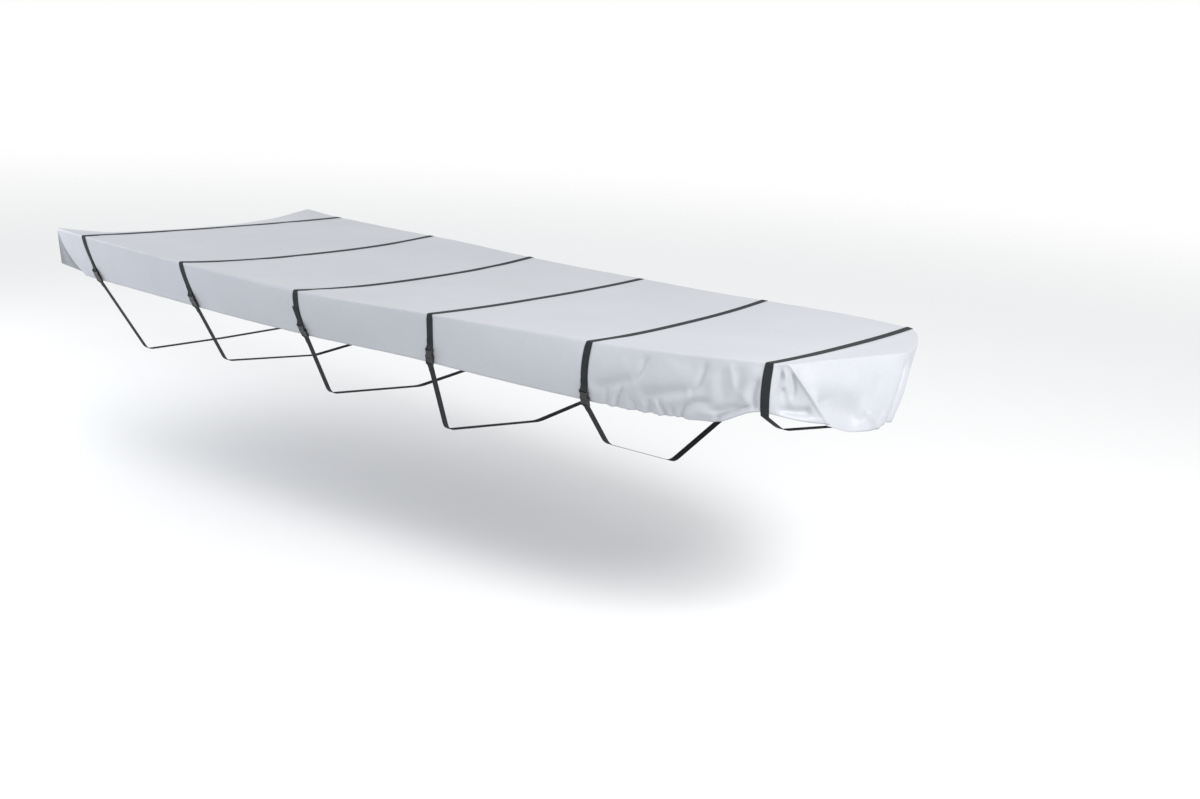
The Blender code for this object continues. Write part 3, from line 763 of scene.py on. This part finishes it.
def round_corner(before, corner, after):
    """Points of the bend of a strap at a corner of its way."""
    into, out = before - corner, after - corner
    into *= min(BEND_RADIUS / into.length, BEND_SHARE)
    out *= min(BEND_RADIUS / out.length, BEND_SHARE)
    shares = [step / BEND_STEPS for step in range(BEND_STEPS + 1)]
    return [corner + into * (1 - share) ** 2 + out * share ** 2 for share in shares]


def below_the_hem(run, start, end):
    """The strap's way back from the far side to the near side, underneath."""
    x = start.x
    corners = [start,
               Vector((x, run.turn_y, run.turn_z)),
               Vector((x + run.slide, 0.0, run.low_z)),
               Vector((x + run.slide / 2, -run.turn_y, run.turn_z)),
               end]
    bends = zip(corners, corners[1:], corners[2:])
    return [point for bend in bends for point in round_corner(*bend)] + [end]


BuckleFrame = namedtuple("BuckleFrame", "middle outward upward")


def buckle_frame(run):
    """Where a strap's buckle sits on the near skirt, and which way it faces."""
    x = STRAPS_X[run.number - 1]
    line = girth_line(x, 0)
    hem_z = float(curve_through(NEAR_RIBS, "at", "hem_z")(x))
    high = from_height(line, hem_z + BUCKLE_LEAN_SPAN)[0]
    upward = Vector((0, high.y - line[0].y, high.z - line[0].z)).normalized()
    outward = Vector((0, -upward.z, upward.y))
    middle = from_height(line, hem_z + run.buckle_rise)[0] + outward * BUCKLE_LIFT
    middle.x = x
    return BuckleFrame(middle, outward, upward)


BUCKLES = {run.number: buckle_frame(run) for run in BUCKLED_RUNS}
print("buckles at z, in metres:", [round(buckle.middle.z, 3) for buckle in BUCKLES.values()])

# %% [markdown]
# ## Weaving the straps through the buckles
#
# At each half of a buckle the webbing passes behind a bar, through the slot, back over the
# bar and flat along itself, where it is sewn. The free end of strap 3 isn't sewn: it lies
# on its strap and leans aft a little at the tip.

# %% Straps through the buckles
STRAP_LINES = (-1, 0, 1)
STRAP_RISE = 0.020
BAR_ABOVE = 40.25 * MM
BAR_BELOW = 25.25 * MM
BAR_ROUND = ((0.0, 3.1 * MM), (2.3 * MM, 2.7 * MM), (2.9 * MM, 0.0),
             (2.3 * MM, -2.7 * MM), (0.0, -3.1 * MM))
FOLD_BACK = (42 * MM, 36 * MM, 30 * MM, 24 * MM, 18 * MM, 12 * MM, 7 * MM, 3 * MM)
FOLD_BACK_LIFT = 1.8 * MM
FOLD_BACK_EASE = 16 * MM
TAIL_STRAP = 3
TAIL_TOP_Z = -0.076
TAIL_SWING = 0.010
TAIL_POINTS = 14
TAIL_START = 0.3 * MM


def along_line(line, distance):
    """The point a distance along a line."""
    for a, b in zip(line, line[1:]):
        step = (b - a).length
        if distance <= step:
            return a.lerp(b, distance / step)
        distance -= step
    return line[-1]


def fold_back_point(line, outward, distance):
    """A point of the layer that is folded back along a strap, a distance past the bar."""
    at_bar = 2 * BAR_ROUND[0][1] - FOLD_BACK_LIFT
    lift = FOLD_BACK_LIFT + at_bar * float(1 - smooth_step(distance / FOLD_BACK_EASE))
    return along_line(line, distance) + outward * lift


def round_bar(bar, along, outward):
    """Points of the webbing's way round a bar, from its outside to its inside."""
    return [bar - along * inward + outward * out for inward, out in BAR_ROUND]


def bars(run, side):
    """The bars of a strap's buckle, where one line of the strap meets them."""
    buckle = BUCKLES[run.number]
    middle = buckle.middle + Vector((side * HALF_WEBBING, 0, 0))
    return middle + buckle.upward * BAR_ABOVE, middle - buckle.upward * BAR_BELOW


def strap_parts(run, side):
    """A line of a strap over the cover, from its upper bar, and then under it to the lower."""
    outward = BUCKLES[run.number].outward
    top_bar, low_bar = bars(run, side)
    line = girth_line(STRAPS_X[run.number - 1] + side * HALF_WEBBING, STRAP_LIFT)
    behind = outward * BAR_ROUND[-1][1]
    over = [top_bar + behind] + from_height(line, top_bar.z + STRAP_RISE)
    return over, below_the_hem(run, past_the_end(over), low_bar + behind)


def strap_side(run, side):
    """One line of a strap: its aft edge, its middle or its fore edge."""
    if run.buckle_rise is NO_BUCKLE:
        line = girth_line(STRAPS_X[run.number - 1] + side * HALF_WEBBING, STRAP_LIFT)
        path = below_the_hem(run, past_the_end(line), past_the_end(line[::-1])) + line
        return path + [path[0].copy()]
    buckle = BUCKLES[run.number]
    outward, upward = buckle.outward, buckle.upward
    top_bar, low_bar = bars(run, side)
    over, under = strap_parts(run, side)
    folds = [] if run.number == TAIL_STRAP else FOLD_BACK
    start = [fold_back_point(over, outward, distance) for distance in folds]
    end = [fold_back_point(under[::-1], outward, distance) for distance in FOLD_BACK]
    into_socket = round_bar(top_bar, upward, outward)[:-1]
    out_of_plug = round_bar(low_bar, -upward, outward)[::-1]
    return start + into_socket + over + under[:-1] + out_of_plug + end[::-1]


def tail_side(run, side):
    """One line of the free end that lies on its strap, from the bar to the tip."""
    buckle = BUCKLES[run.number]
    over = strap_parts(run, side)[0]
    length = (TAIL_TOP_Z - over[0].z) / buckle.upward.z
    distances = np.linspace(TAIL_START, length, TAIL_POINTS)
    swing = TAIL_SWING * (distances / length) ** 2
    return [fold_back_point(over, buckle.outward, distance) - Vector((step, 0, 0))
            for distance, step in zip(distances, swing)]


strap_lines = {run.number: [strap_side(run, side) for side in STRAP_LINES]
               for run in STRAP_RUNS}
tail_lines = [tail_side(STRAP_RUNS[TAIL_STRAP - 1], side) for side in STRAP_LINES]
print("points along each strap:", {n: len(lines[0]) for n, lines in strap_lines.items()})

# %% [markdown]
# ## Webbing
#
# A strap is a grid two cells wide, laid along its three lines and thickened. The thread
# turns back at the edges of woven webbing, so a narrow bevel rounds them. The flat pattern
# counts the metres along the strap, for the ribs of the weave.

# %% Webbing
WEBBING_THICKNESS = 1.5 * MM
WOVEN_EDGE = 0.45 * MM
WOVEN_EDGE_ANGLE = math.radians(60)
SAME_POINT = 0.01 * MM


def ribbon(name, lines, closed):
    """A strip of webbing through lines that run along it, side by side."""
    rows, columns = len(lines[0]) - 1, len(lines) - 1
    deselect_all()
    bpy.ops.mesh.primitive_grid_add(x_subdivisions=rows, y_subdivisions=columns, size=1,
                                    location=(0.5, 0.5, 0))
    item = bpy.context.object
    item.name = name
    bpy.ops.object.transform_apply(location=True)
    place = np.rint(points_of(item)[:, :2] * (rows, columns)).astype(int)
    points = np.array([[tuple(point) for point in line] for line in lines])
    steps = np.linalg.norm(np.diff(points[columns // 2], axis=0), axis=1)
    travelled = np.concatenate(([0], np.cumsum(steps)))
    move_points(item, points[place[:, 1], place[:, 0]])
    aside = place[:, 1] / columns * WEBBING_WIDTH
    lay_pattern(item, np.stack((travelled[place[:, 0]], aside), axis=1))
    bpy.ops.object.mode_set(mode="EDIT")
    bpy.ops.mesh.select_all(action="SELECT")
    if closed:
        bpy.ops.mesh.remove_doubles(threshold=SAME_POINT)
    bpy.ops.mesh.normals_make_consistent(inside=False)
    bpy.ops.object.mode_set(mode="OBJECT")
    solid = item.modifiers.new("thickness", "SOLIDIFY")
    solid.thickness = WEBBING_THICKNESS
    solid.offset = 0.0
    solid.use_even_offset = True
    edge = item.modifiers.new("woven edge", "BEVEL")
    edge.width = WOVEN_EDGE
    edge.segments = 2
    edge.limit_method = "ANGLE"
    edge.angle_limit = WOVEN_EDGE_ANGLE
    edge.harden_normals = True
    bpy.ops.object.shade_smooth()
    apply_modifiers(item)
    return item, travelled[-1]


straps = {}
for number, lines in strap_lines.items():
    straps[number], length = ribbon(f"webbing_{number}", lines, number not in BUCKLES)
    print(f"strap {number}: {length:.2f} m")
tail, length = ribbon("webbing_tail", tail_lines, closed=False)
print(f"free end: {length:.3f} m")

# %% [markdown]
# ## The buckles
#
# The buckles are side-release ones, moulded in acetal. A mould for the socket would have
# one core for its mouth and two slides for the side windows, and the same cuts make it
# here. The plug carries two springy prongs, whose barbs stand in the windows, and a guide
# between them. Each half ends in a slot and a bar for the webbing. First come the tools:
# a block, a cut, a taper and rounded edges, all of them in millimetres.

# %% Tools for moulded pieces
SHARP_ANGLE = math.radians(35)
BODY_RADIUS = 1.6
CUT_RADIUS = 0.9
PRONG_RADIUS = 0.35


def block(name, low, high):
    """A box between two corners, given in millimetres."""
    low, high = Vector(low) * MM, Vector(high) * MM
    deselect_all()
    bpy.ops.mesh.primitive_cube_add(size=1, location=(low + high) / 2)
    item = bpy.context.object
    item.name = name
    item.scale = high - low
    bpy.ops.object.transform_apply(location=True, rotation=True, scale=True)
    return item


def combine(item, others, operation):
    """Cuts other shapes from an item, or joins them to it, and removes them."""
    for other in others:
        step = item.modifiers.new(other.name, "BOOLEAN")
        step.operation = operation
        step.object = other
        step.solver = "EXACT"
    apply_modifiers(item)
    for other in others:
        bpy.data.objects.remove(other, do_unlink=True)


def taper(item, width_share, depth_share, above):
    """Narrows the end of a block that lies past a height."""
    for vertex in item.data.vertices:
        if vertex.co.z > above * MM:
            vertex.co.x *= width_share
            vertex.co.y *= depth_share


def round_edges(item, radius, segments=3):
    """Rounds the edges of a block, and shades it smoothly."""
    bevel = item.modifiers.new("rounded edges", "BEVEL")
    bevel.width = radius * MM
    bevel.segments = segments
    bevel.limit_method = "ANGLE"
    bevel.angle_limit = SHARP_ANGLE
    bevel.harden_normals = True
    make_active(item)
    bpy.ops.object.shade_smooth()
    apply_modifiers(item)


def crisp_edges(item):
    """Shades a cut block with flat faces and sharp edges, and its rounded rims smoothly."""
    make_active(item)
    bpy.ops.mesh.customdata_custom_splitnormals_clear()
    bpy.ops.object.shade_smooth()
    bpy.ops.object.mode_set(mode="EDIT")
    bpy.ops.mesh.select_mode(type="EDGE")
    bpy.ops.mesh.select_all(action="DESELECT")
    bpy.ops.mesh.edges_select_sharp(sharpness=SHARP_ANGLE)
    bpy.ops.mesh.mark_sharp()
    bpy.ops.object.mode_set(mode="OBJECT")
    weighted = item.modifiers.new("flat faces", "WEIGHTED_NORMAL")
    weighted.keep_sharp = True
    apply_modifiers(item)


# %% [markdown]
# The socket is a block with rounded edges, tapered towards its strap. Its mouth, its two
# windows and its slot are cut out of it, and its webbing lies in a recess on each face. A
# bevel after so many cuts would twist the flat faces, so their edges are marked sharp.

# %% Socket
def make_socket():
    socket = block("socket", (-22, -5.5, 0.4), (22, 5.5, 42))
    taper(socket, 0.92, 0.86, above=30)
    round_edges(socket, BODY_RADIUS)
    cuts = [
        block("mouth", (-17.6, -3.1, -2), (17.6, 3.1, 29)),
        block("window aft", (-26, -9, 11), (-16.8, 9, 29)),
        block("window fore", (16.8, -9, 11), (26, 9, 29)),
        block("slot", (-16.6, -9, 34), (16.6, 9, 38.5)),
        block("recess outside", (-16.6, 2, 37), (16.6, 9, 46)),
        block("recess inside", (-16.6, -9, 37), (16.6, -2, 46)),
    ]
    for cutter in cuts:
        round_edges(cutter, CUT_RADIUS, segments=2)
    combine(socket, cuts, "DIFFERENCE")
    crisp_edges(socket)
    return socket


socket = make_socket()
print("socket:", triangles(socket), "triangles")

# %% [markdown]
# The plug is a smaller block with a slot, a recess on each face and a rest for the thumb.
# The guide and the two prongs are joined to it. Each prong ends in a barb, whose outer
# corner is drawn in, so that it would slide into the mouth.

# %% Plug
BARB_SHOULDER = 20
BARB_OUTSIDE = 18
BARB_SLOPE = 4.6


def make_plug():
    plug = block("plug", (-20, -5, -27), (20, 5, -0.4))
    round_edges(plug, BODY_RADIUS)
    cuts = [
        block("slot", (-16.4, -9, -23.5), (16.4, 9, -19)),
        block("recess outside", (-16.4, 2, -32), (16.4, 9, -22)),
        block("recess inside", (-16.4, -9, -32), (16.4, -2, -22)),
        block("thumb rest", (-11, 4.2, -15), (11, 9, -5)),
    ]
    for cutter in cuts:
        round_edges(cutter, CUT_RADIUS, segments=2)
    combine(plug, cuts, "DIFFERENCE")
    arms = [block("guide", (-2.4, -1.9, -2), (2.4, 1.9, 20))]
    for side in (-1, 1):
        low, high = sorted((side * 9.5, side * 14.5))
        arms.append(block("prong", (low, -2.5, -2), (high, 2.5, 23)))
        low, high = sorted((side * 13.0, side * 20.6))
        barb = block("barb", (low, -2.5, 13), (high, 2.5, 25.5))
        for vertex in barb.data.vertices:
            if vertex.co.z > BARB_SHOULDER * MM and abs(vertex.co.x) > BARB_OUTSIDE * MM:
                vertex.co.x -= side * BARB_SLOPE * MM
        arms.append(barb)
    combine(plug, arms, "UNION")
    round_edges(plug, PRONG_RADIUS, segments=2)
    return plug


plug = make_plug()
print("plug:", triangles(plug), "triangles")

# %% [markdown]
# One socket and one plug are set on each of the first five straps. Every copy has a mesh of
# its own, moved to its place on the near skirt, just at the hem.

# %% Set the buckles
def set_on_strap(pattern, name, buckle):
    """A copy of half a buckle, set where its strap has it."""
    copy = pattern.copy()
    copy.data = pattern.data.copy()
    copy.name = name
    bpy.context.scene.collection.objects.link(copy)
    across = buckle.outward.cross(buckle.upward)
    turn = Matrix((across, buckle.outward, buckle.upward)).transposed().to_4x4()
    copy.data.transform(Matrix.Translation(buckle.middle) @ turn)
    return copy


sockets, plugs = {}, {}
for number, buckle in BUCKLES.items():
    sockets[number] = set_on_strap(socket, f"socket_{number}", buckle)
    plugs[number] = set_on_strap(plug, f"plug_{number}", buckle)
for pattern in (socket, plug):
    bpy.data.objects.remove(pattern, do_unlink=True)
print("buckles set:", len(sockets))

# %% [markdown]
# ## Stitches
#
# A lockstitch shows as a row of short thread bars, each sunk a little at its ends. A bar is
# a thin spindle with four sides, and a whole seam is one mesh, built in one go because an
# operator for each of thousands of bars would be slow. The hem has one row all round.

# %% Hem stitches
HEM_ROW = 0.935
HEM_STITCH = 4.2 * MM
THREAD = 0.5 * MM
THREAD_RISE = 0.15 * MM
STITCH_SHARE = 0.8
THREAD_ENDS = 0.45
THREAD_ARCH = 0.6
AROUND = ((-1, 0), (0, 1), (1, 0), (0, -1))


def stitched(name, stitches):
    """One mesh of thread bars, each from its start to its end with a direction that it faces."""
    shape = bmesh.new()
    for start, end, facing in stitches:
        along = (end - start).normalized()
        aside = facing.cross(along) * THREAD / 2
        rise = facing * THREAD / 2
        middle = (start + end) / 2 + rise * THREAD_ARCH
        rings = [[shape.verts.new(place + (aside * a + rise * b) * share) for a, b in AROUND]
                 for place, share in ((start, THREAD_ENDS), (middle, 1.0), (end, THREAD_ENDS))]
        for first, second in zip(rings, rings[1:]):
            for n in range(len(AROUND)):
                m = (n + 1) % len(AROUND)
                shape.faces.new((first[n], first[m], second[m], second[n]))
        shape.faces.new(rings[0][::-1])
        shape.faces.new(rings[-1])
    bmesh.ops.recalc_face_normals(shape, faces=shape.faces)
    mesh = bpy.data.meshes.new(name)
    shape.to_mesh(mesh)
    shape.free()
    item = bpy.data.objects.new(name, mesh)
    bpy.context.scene.collection.objects.link(item)
    return item


def hem_loop():
    """The points of the sheet that the hem's seam follows, once round the skirt."""
    row = int(np.abs(DOWN - HEM_ROW).argmin())
    loop = []
    for side, axis, step in (("near", 0, 1), ("bow", 1, 1), ("far", 0, -1), ("stern", 1, -1)):
        members = np.nonzero(masks[side] & (lattice[:, 2] == row))[0]
        loop += list(members[np.argsort(lattice[members, axis])][::step])
    return loop + loop[:1]


def hem_stitches():
    """A row of stitches round the skirt, on its outside, parallel to the hem."""
    loop = hem_loop()
    normals = sheet_normals[loop]
    places = sheet_points[loop] + normals * (CLOTH_THICKNESS + THREAD_RISE)
    steps = np.linalg.norm(np.diff(places, axis=0), axis=1)
    travelled = np.concatenate(([0], np.cumsum(steps)))
    count = int(travelled[-1] / HEM_STITCH)
    starts = np.arange(count) * travelled[-1] / count

    def read(values, distances):
        return [Vector(row) for row in
                zip(*(np.interp(distances, travelled, column) for column in values.T))]

    ends = read(places, starts + HEM_STITCH * STITCH_SHARE)
    facings = [normal.normalized() for normal in read(normals, starts)]
    return list(zip(read(places, starts), ends, facings))


hem_thread = stitched("hem_stitching", hem_stitches())
print("hem stitches:", triangles(hem_thread), "triangles")

# %% [markdown]
# Each end of webbing that is folded back on itself is held by a sewn box with a cross. Its
# corners are given as a distance past the bar and a place across the strap.

# %% Box stitches
BOX_STITCH = 3.0 * MM
BOX_START = 13 * MM
BOX_END = 37 * MM
BOX_MARGIN = 4 * MM


def box_stitches(lines, outward):
    """A sewn box with a cross on the end that is folded back along a strap's three lines."""
    half = HALF_WEBBING - BOX_MARGIN
    lift = outward * (WEBBING_THICKNESS / 2 + THREAD_RISE)

    def place(distance, aside):
        middle = fold_back_point(lines[0], outward, distance)
        edge = fold_back_point(lines[1 if aside > 0 else -1], outward, distance)
        return middle.lerp(edge, abs(aside) / HALF_WEBBING) + lift

    corners = [(BOX_START, -half), (BOX_START, half), (BOX_END, half), (BOX_END, -half)]
    seams = list(zip(corners, corners[1:] + corners[:1]))
    seams += [(corners[0], corners[2]), (corners[1], corners[3])]
    stitches = []
    for start, end in seams:
        run = Vector(end) - Vector(start)
        count = round(run.length / BOX_STITCH)
        for number in range(count):
            a, b = (Vector(start) + run * (number + share) / count
                    for share in (0, STITCH_SHARE))
            stitches.append((place(*a), place(*b), outward))
    return stitches


sewn_ends = []
for run in BUCKLED_RUNS:
    over, under = {}, {}
    for side in STRAP_LINES:
        over[side], back = strap_parts(run, side)
        under[side] = back[::-1]
    outward = BUCKLES[run.number].outward
    if run.number != TAIL_STRAP:
        sewn_ends += box_stitches(over, outward)
    sewn_ends += box_stitches(under, outward)
strap_thread = stitched("strap_stitching", sewn_ends)
print("box stitches:", triangles(strap_thread), "triangles")

# %% [markdown]
# ## Tools for the finishes
#
# Colours are written as they look on a screen, in sRGB, and turned to the linear values
# that light is worked out with. One function adds a node with its settings and its inputs,
# each of which is a value or the output of another node. A weave is two rows of waves, one
# along and one across the flat pattern, each with its real pitch. The wave texture turns
# through 20 radians in a metre at scale 1, from which the scale for a pitch follows.

# %% Node helpers
TEXTURE_TURNS = 20


def linear(hex_colour):
    """A colour such as #C9CCD1 as linear red, green, blue and alpha."""
    shares = [int(hex_colour[start:start + 2], 16) / 255 for start in (1, 3, 5)]
    return [s / 12.92 if s <= 0.04045 else ((s + 0.055) / 1.055) ** 2.4 for s in shares] + [1.0]


def add_node(tree, kind, settings=None, **inputs):
    """Adds a node. An input is named as on the node, in lower case with underscores."""
    node = tree.nodes.new(kind)
    for name, value in (settings or {}).items():
        setattr(node, name, value)
    for name, value in inputs.items():
        socket = next(s for s in node.inputs
                      if s.enabled and s.name.lower().replace(" ", "_") == name)
        if isinstance(value, bpy.types.NodeSocket):
            tree.links.new(value, socket)
        else:
            socket.default_value = value
    return node


def new_material(name):
    material = bpy.data.materials.new(name)
    material.use_nodes = True
    shader = material.node_tree.nodes["Principled BSDF"]
    shader.inputs["IOR"].default_value = 1.5
    return material, material.node_tree, shader


def object_place(tree):
    return add_node(tree, "ShaderNodeTexCoord").outputs["Object"]


def noise(tree, place, scale, detail, **inputs):
    """A cloudy pattern, whose scale is about the number of clouds in a metre."""
    return add_node(tree, "ShaderNodeTexNoise", vector=place, scale=scale, detail=detail,
                    **inputs).outputs["Fac"]


def mixed_colour(tree, factor, first, second):
    return add_node(tree, "ShaderNodeMix", {"data_type": "RGBA"}, factor=factor,
                    a=linear(first), b=linear(second)).outputs[2]


def woven(tree, operation, pitch_along, pitch_across):
    """The height of a weave on the flat pattern, for the pitches of its two threads."""
    place = add_node(tree, "ShaderNodeTexCoord").outputs["UV"]
    weave = add_node(tree, "ShaderNodeMath", {"operation": operation})
    for number, (direction, pitch) in enumerate((("X", pitch_along), ("Y", pitch_across))):
        scale = 2 * math.pi / (TEXTURE_TURNS * pitch)
        band = add_node(tree, "ShaderNodeTexWave", {"bands_direction": direction},
                        vector=place, scale=scale)
        tree.links.new(band.outputs["Fac"], weave.inputs[number])
    return weave.outputs[0]


def bump(tree, height, strength, distance, **inputs):
    """A relief for the shader's Normal, as high as the distance in metres."""
    return add_node(tree, "ShaderNodeBump", strength=strength, distance=distance,
                    height=height, **inputs).outputs[0]


# %% [markdown]
# ## Silver polyester
#
# The cloth is woven polyester with a thin water-repellent coating, pigmented a pale silver
# grey. It has a soft sheen but no mirror. Two noise patterns keep it from looking like
# paint: broad clouds where the coating is a little thicker, and a fine mottle. A third one
# is a soft crumple of the surface. The weave has two threads to the millimetre on the flat
# pattern, and stands up by a twentieth of one, far too fine to see from a step away.

# %% Cloth
CLOTH_PITCH = 0.5 * MM
CLOTH_GRAIN = 0.05 * MM
CRUMPLE = 1.6 * MM
CLOUD_SCALE, MOTTLE_SCALE, CRUMPLE_SCALE = 2.2, 60.0, 14.0
MOTTLE_SHARE = 0.35


def cloth_material(name, light, dark, roughness, sheen):
    material, tree, shader = new_material(name)
    place = object_place(tree)
    clouds = noise(tree, place, CLOUD_SCALE, detail=3.0)
    mottle = noise(tree, place, MOTTLE_SCALE, detail=4.0)
    both = add_node(tree, "ShaderNodeMix", factor=MOTTLE_SHARE, a=clouds, b=mottle).outputs[0]
    share = add_node(tree, "ShaderNodeMapRange", value=both, from_min=0.35, from_max=0.65)
    colour = mixed_colour(tree, share.outputs[0], dark, light)
    tree.links.new(colour, shader.inputs["Base Color"])
    shader.inputs["Roughness"].default_value = roughness
    shader.inputs["Sheen Weight"].default_value = sheen
    crumple = noise(tree, place, CRUMPLE_SCALE, detail=5.0, roughness=0.55)
    soft = bump(tree, crumple, 0.35, CRUMPLE)
    weave = woven(tree, "MAXIMUM", CLOTH_PITCH, CLOTH_PITCH)
    tree.links.new(bump(tree, weave, 0.15, CLOTH_GRAIN, normal=soft), shader.inputs["Normal"])
    return material


silver = cloth_material("silver_polyester", "#ABAEB5", "#A6A9B0", roughness=0.48, sheen=0.05)
backing = cloth_material("coated_backing", "#A0A3A9", "#989BA1", roughness=0.62, sheen=0.0)
print("finishes:", silver.name, backing.name)

# %% [markdown]
# ## Webbing, acetal and thread
#
# Polypropylene webbing is dyed in the mass, so it is a deep charcoal all through. Its ribs
# run across the strap every millimetre and a half, and its coarse weave scatters light, so
# it is nearly matt. Moulded acetal is black with a fine-grained satin face. Sewing thread is
# twisted polyester, pale on the cloth and black on the webbing. Acetal and thread are one
# colour with a fine grain, so one function makes them both.

# %% Webbing, acetal and thread
WEBBING_PITCH_ALONG = 1.5 * MM
WEBBING_PITCH_ACROSS = 2.6 * MM
WEBBING_GRAIN = 0.25 * MM


def webbing_material():
    material, tree, shader = new_material("polypropylene_webbing")
    wear = noise(tree, object_place(tree), 30.0, detail=3.0)
    colour = mixed_colour(tree, wear, "#15191B", "#20262A")
    tree.links.new(colour, shader.inputs["Base Color"])
    weave = woven(tree, "MULTIPLY", WEBBING_PITCH_ALONG, WEBBING_PITCH_ACROSS)
    tree.links.new(bump(tree, weave, 0.6, WEBBING_GRAIN), shader.inputs["Normal"])
    shader.inputs["Roughness"].default_value = 0.75
    shader.inputs["Specular IOR Level"].default_value = 0.3
    return material


def grained_material(name, hex_colour, roughness, scale, strength, grain):
    material, tree, shader = new_material(name)
    height = noise(tree, object_place(tree), scale, detail=2.0)
    tree.links.new(bump(tree, height, strength, grain), shader.inputs["Normal"])
    shader.inputs["Base Color"].default_value = linear(hex_colour)
    shader.inputs["Roughness"].default_value = roughness
    return material


def thread_material(name, hex_colour):
    return grained_material(name, hex_colour, 0.6, scale=900.0, strength=0.3, grain=0.1 * MM)


webbing = webbing_material()
acetal = grained_material("acetal", "#121415", 0.40, scale=1800.0, strength=0.2, grain=0.04 * MM)
pale_thread = thread_material("polyester_thread_pale", "#C4C7CC")
black_thread = thread_material("polyester_thread_black", "#1E2022")
print("finishes:", webbing.name, acetal.name, pale_thread.name, black_thread.name)

# %% [markdown]
# ## Every piece takes its place
#
# Each finished piece stands for the plain solid of the same thing. The two seams have no
# solid of their own and just ride along.

stand_for(cover, ["cover"], silver)
cover.data.materials.append(backing)
for number, strap in straps.items():
    stand_for(strap, [f"strap_{number}"], webbing)
stand_for(tail, [f"strap_{TAIL_STRAP}_tail"], webbing)
for number in BUCKLES:
    stand_for(sockets[number], [f"buckle_{number}_socket"], acetal)
    stand_for(plugs[number], [f"buckle_{number}_plug"], acetal)
for seam, thread in ((hem_thread, pale_thread), (strap_thread, black_thread)):
    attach(seam, "root")
    seam.data.materials.append(thread)

# %% [markdown]
# ## Floor and light
#
# The floor is plain and pale, and fades out far behind the cover, so that no horizon shows.
# The key is a large soft light high off the bow end. It fills the face of the flap, rakes
# the folds of the skirt, and falls off along the top, which grows darker towards the stern.
# A faint light over the near side keeps the skirt's shadows open, and a third one lifts its
# stern end. The sky round them all is plain white.

# %% Studio
FLOOR_Z = -1.107
FLOOR_SIZE = 80
FLOOR_FADE = (6.0, 16.0)
WORLD_STRENGTH = 1.0
Light = namedtuple("Light", "name place target size power colour")
LIGHTS = (
    Light("key from the bow", (5.0, -1.2, 3.1), (1.6, 0, 0), 1.8, 225, "#FFFDFA"),
    Light("soft light over the near side", (1.4, -3.0, 3.0), (1.0, -0.5, 0), 2.2, 10, "#FFFFFF"),
    Light("fill at the stern", (-4.6, -2.4, 0.7), (-1.4, -0.8, -0.1), 1.8, 85, "#F4F8FF"),
)


def add_light(light):
    deselect_all()
    bpy.ops.object.light_add(type="AREA", location=light.place)
    lamp = bpy.context.object
    lamp.name = light.name
    lamp.data.energy = light.power
    lamp.data.size = light.size
    lamp.data.color = linear(light.colour)[:3]
    lamp.visible_camera = False
    aim = Vector(light.target) - Vector(light.place)
    lamp.rotation_euler = aim.to_track_quat("-Z", "Y").to_euler()


def add_floor():
    deselect_all()
    bpy.ops.mesh.primitive_plane_add(size=FLOOR_SIZE, location=(0, 0, FLOOR_Z))
    floor = bpy.context.object
    floor.name = "floor"
    paint, tree, shader = new_material("studio_floor")
    shader.inputs["Base Color"].default_value = linear("#E6E7E8")
    shader.inputs["Roughness"].default_value = 0.9
    away = add_node(tree, "ShaderNodeVectorMath", {"operation": "LENGTH"},
                    vector=object_place(tree))
    near, far = FLOOR_FADE
    fade = add_node(tree, "ShaderNodeMapRange", {"interpolation_type": "SMOOTHSTEP"},
                    value=away.outputs["Value"], from_min=near, from_max=far,
                    to_min=1.0, to_max=0.0)
    tree.links.new(fade.outputs[0], shader.inputs["Alpha"])
    floor.data.materials.append(paint)


add_floor()
for light in LIGHTS:
    add_light(light)
world = bpy.data.worlds.new("studio")
world.use_nodes = True
world.node_tree.nodes["Background"].inputs["Color"].default_value = linear("#FFFFFF")
world.node_tree.nodes["Background"].inputs["Strength"].default_value = WORLD_STRENGTH
bpy.context.scene.world = world
bpy.context.scene.view_settings.view_transform = "Standard"
print("lights:", [light.name for light in LIGHTS])
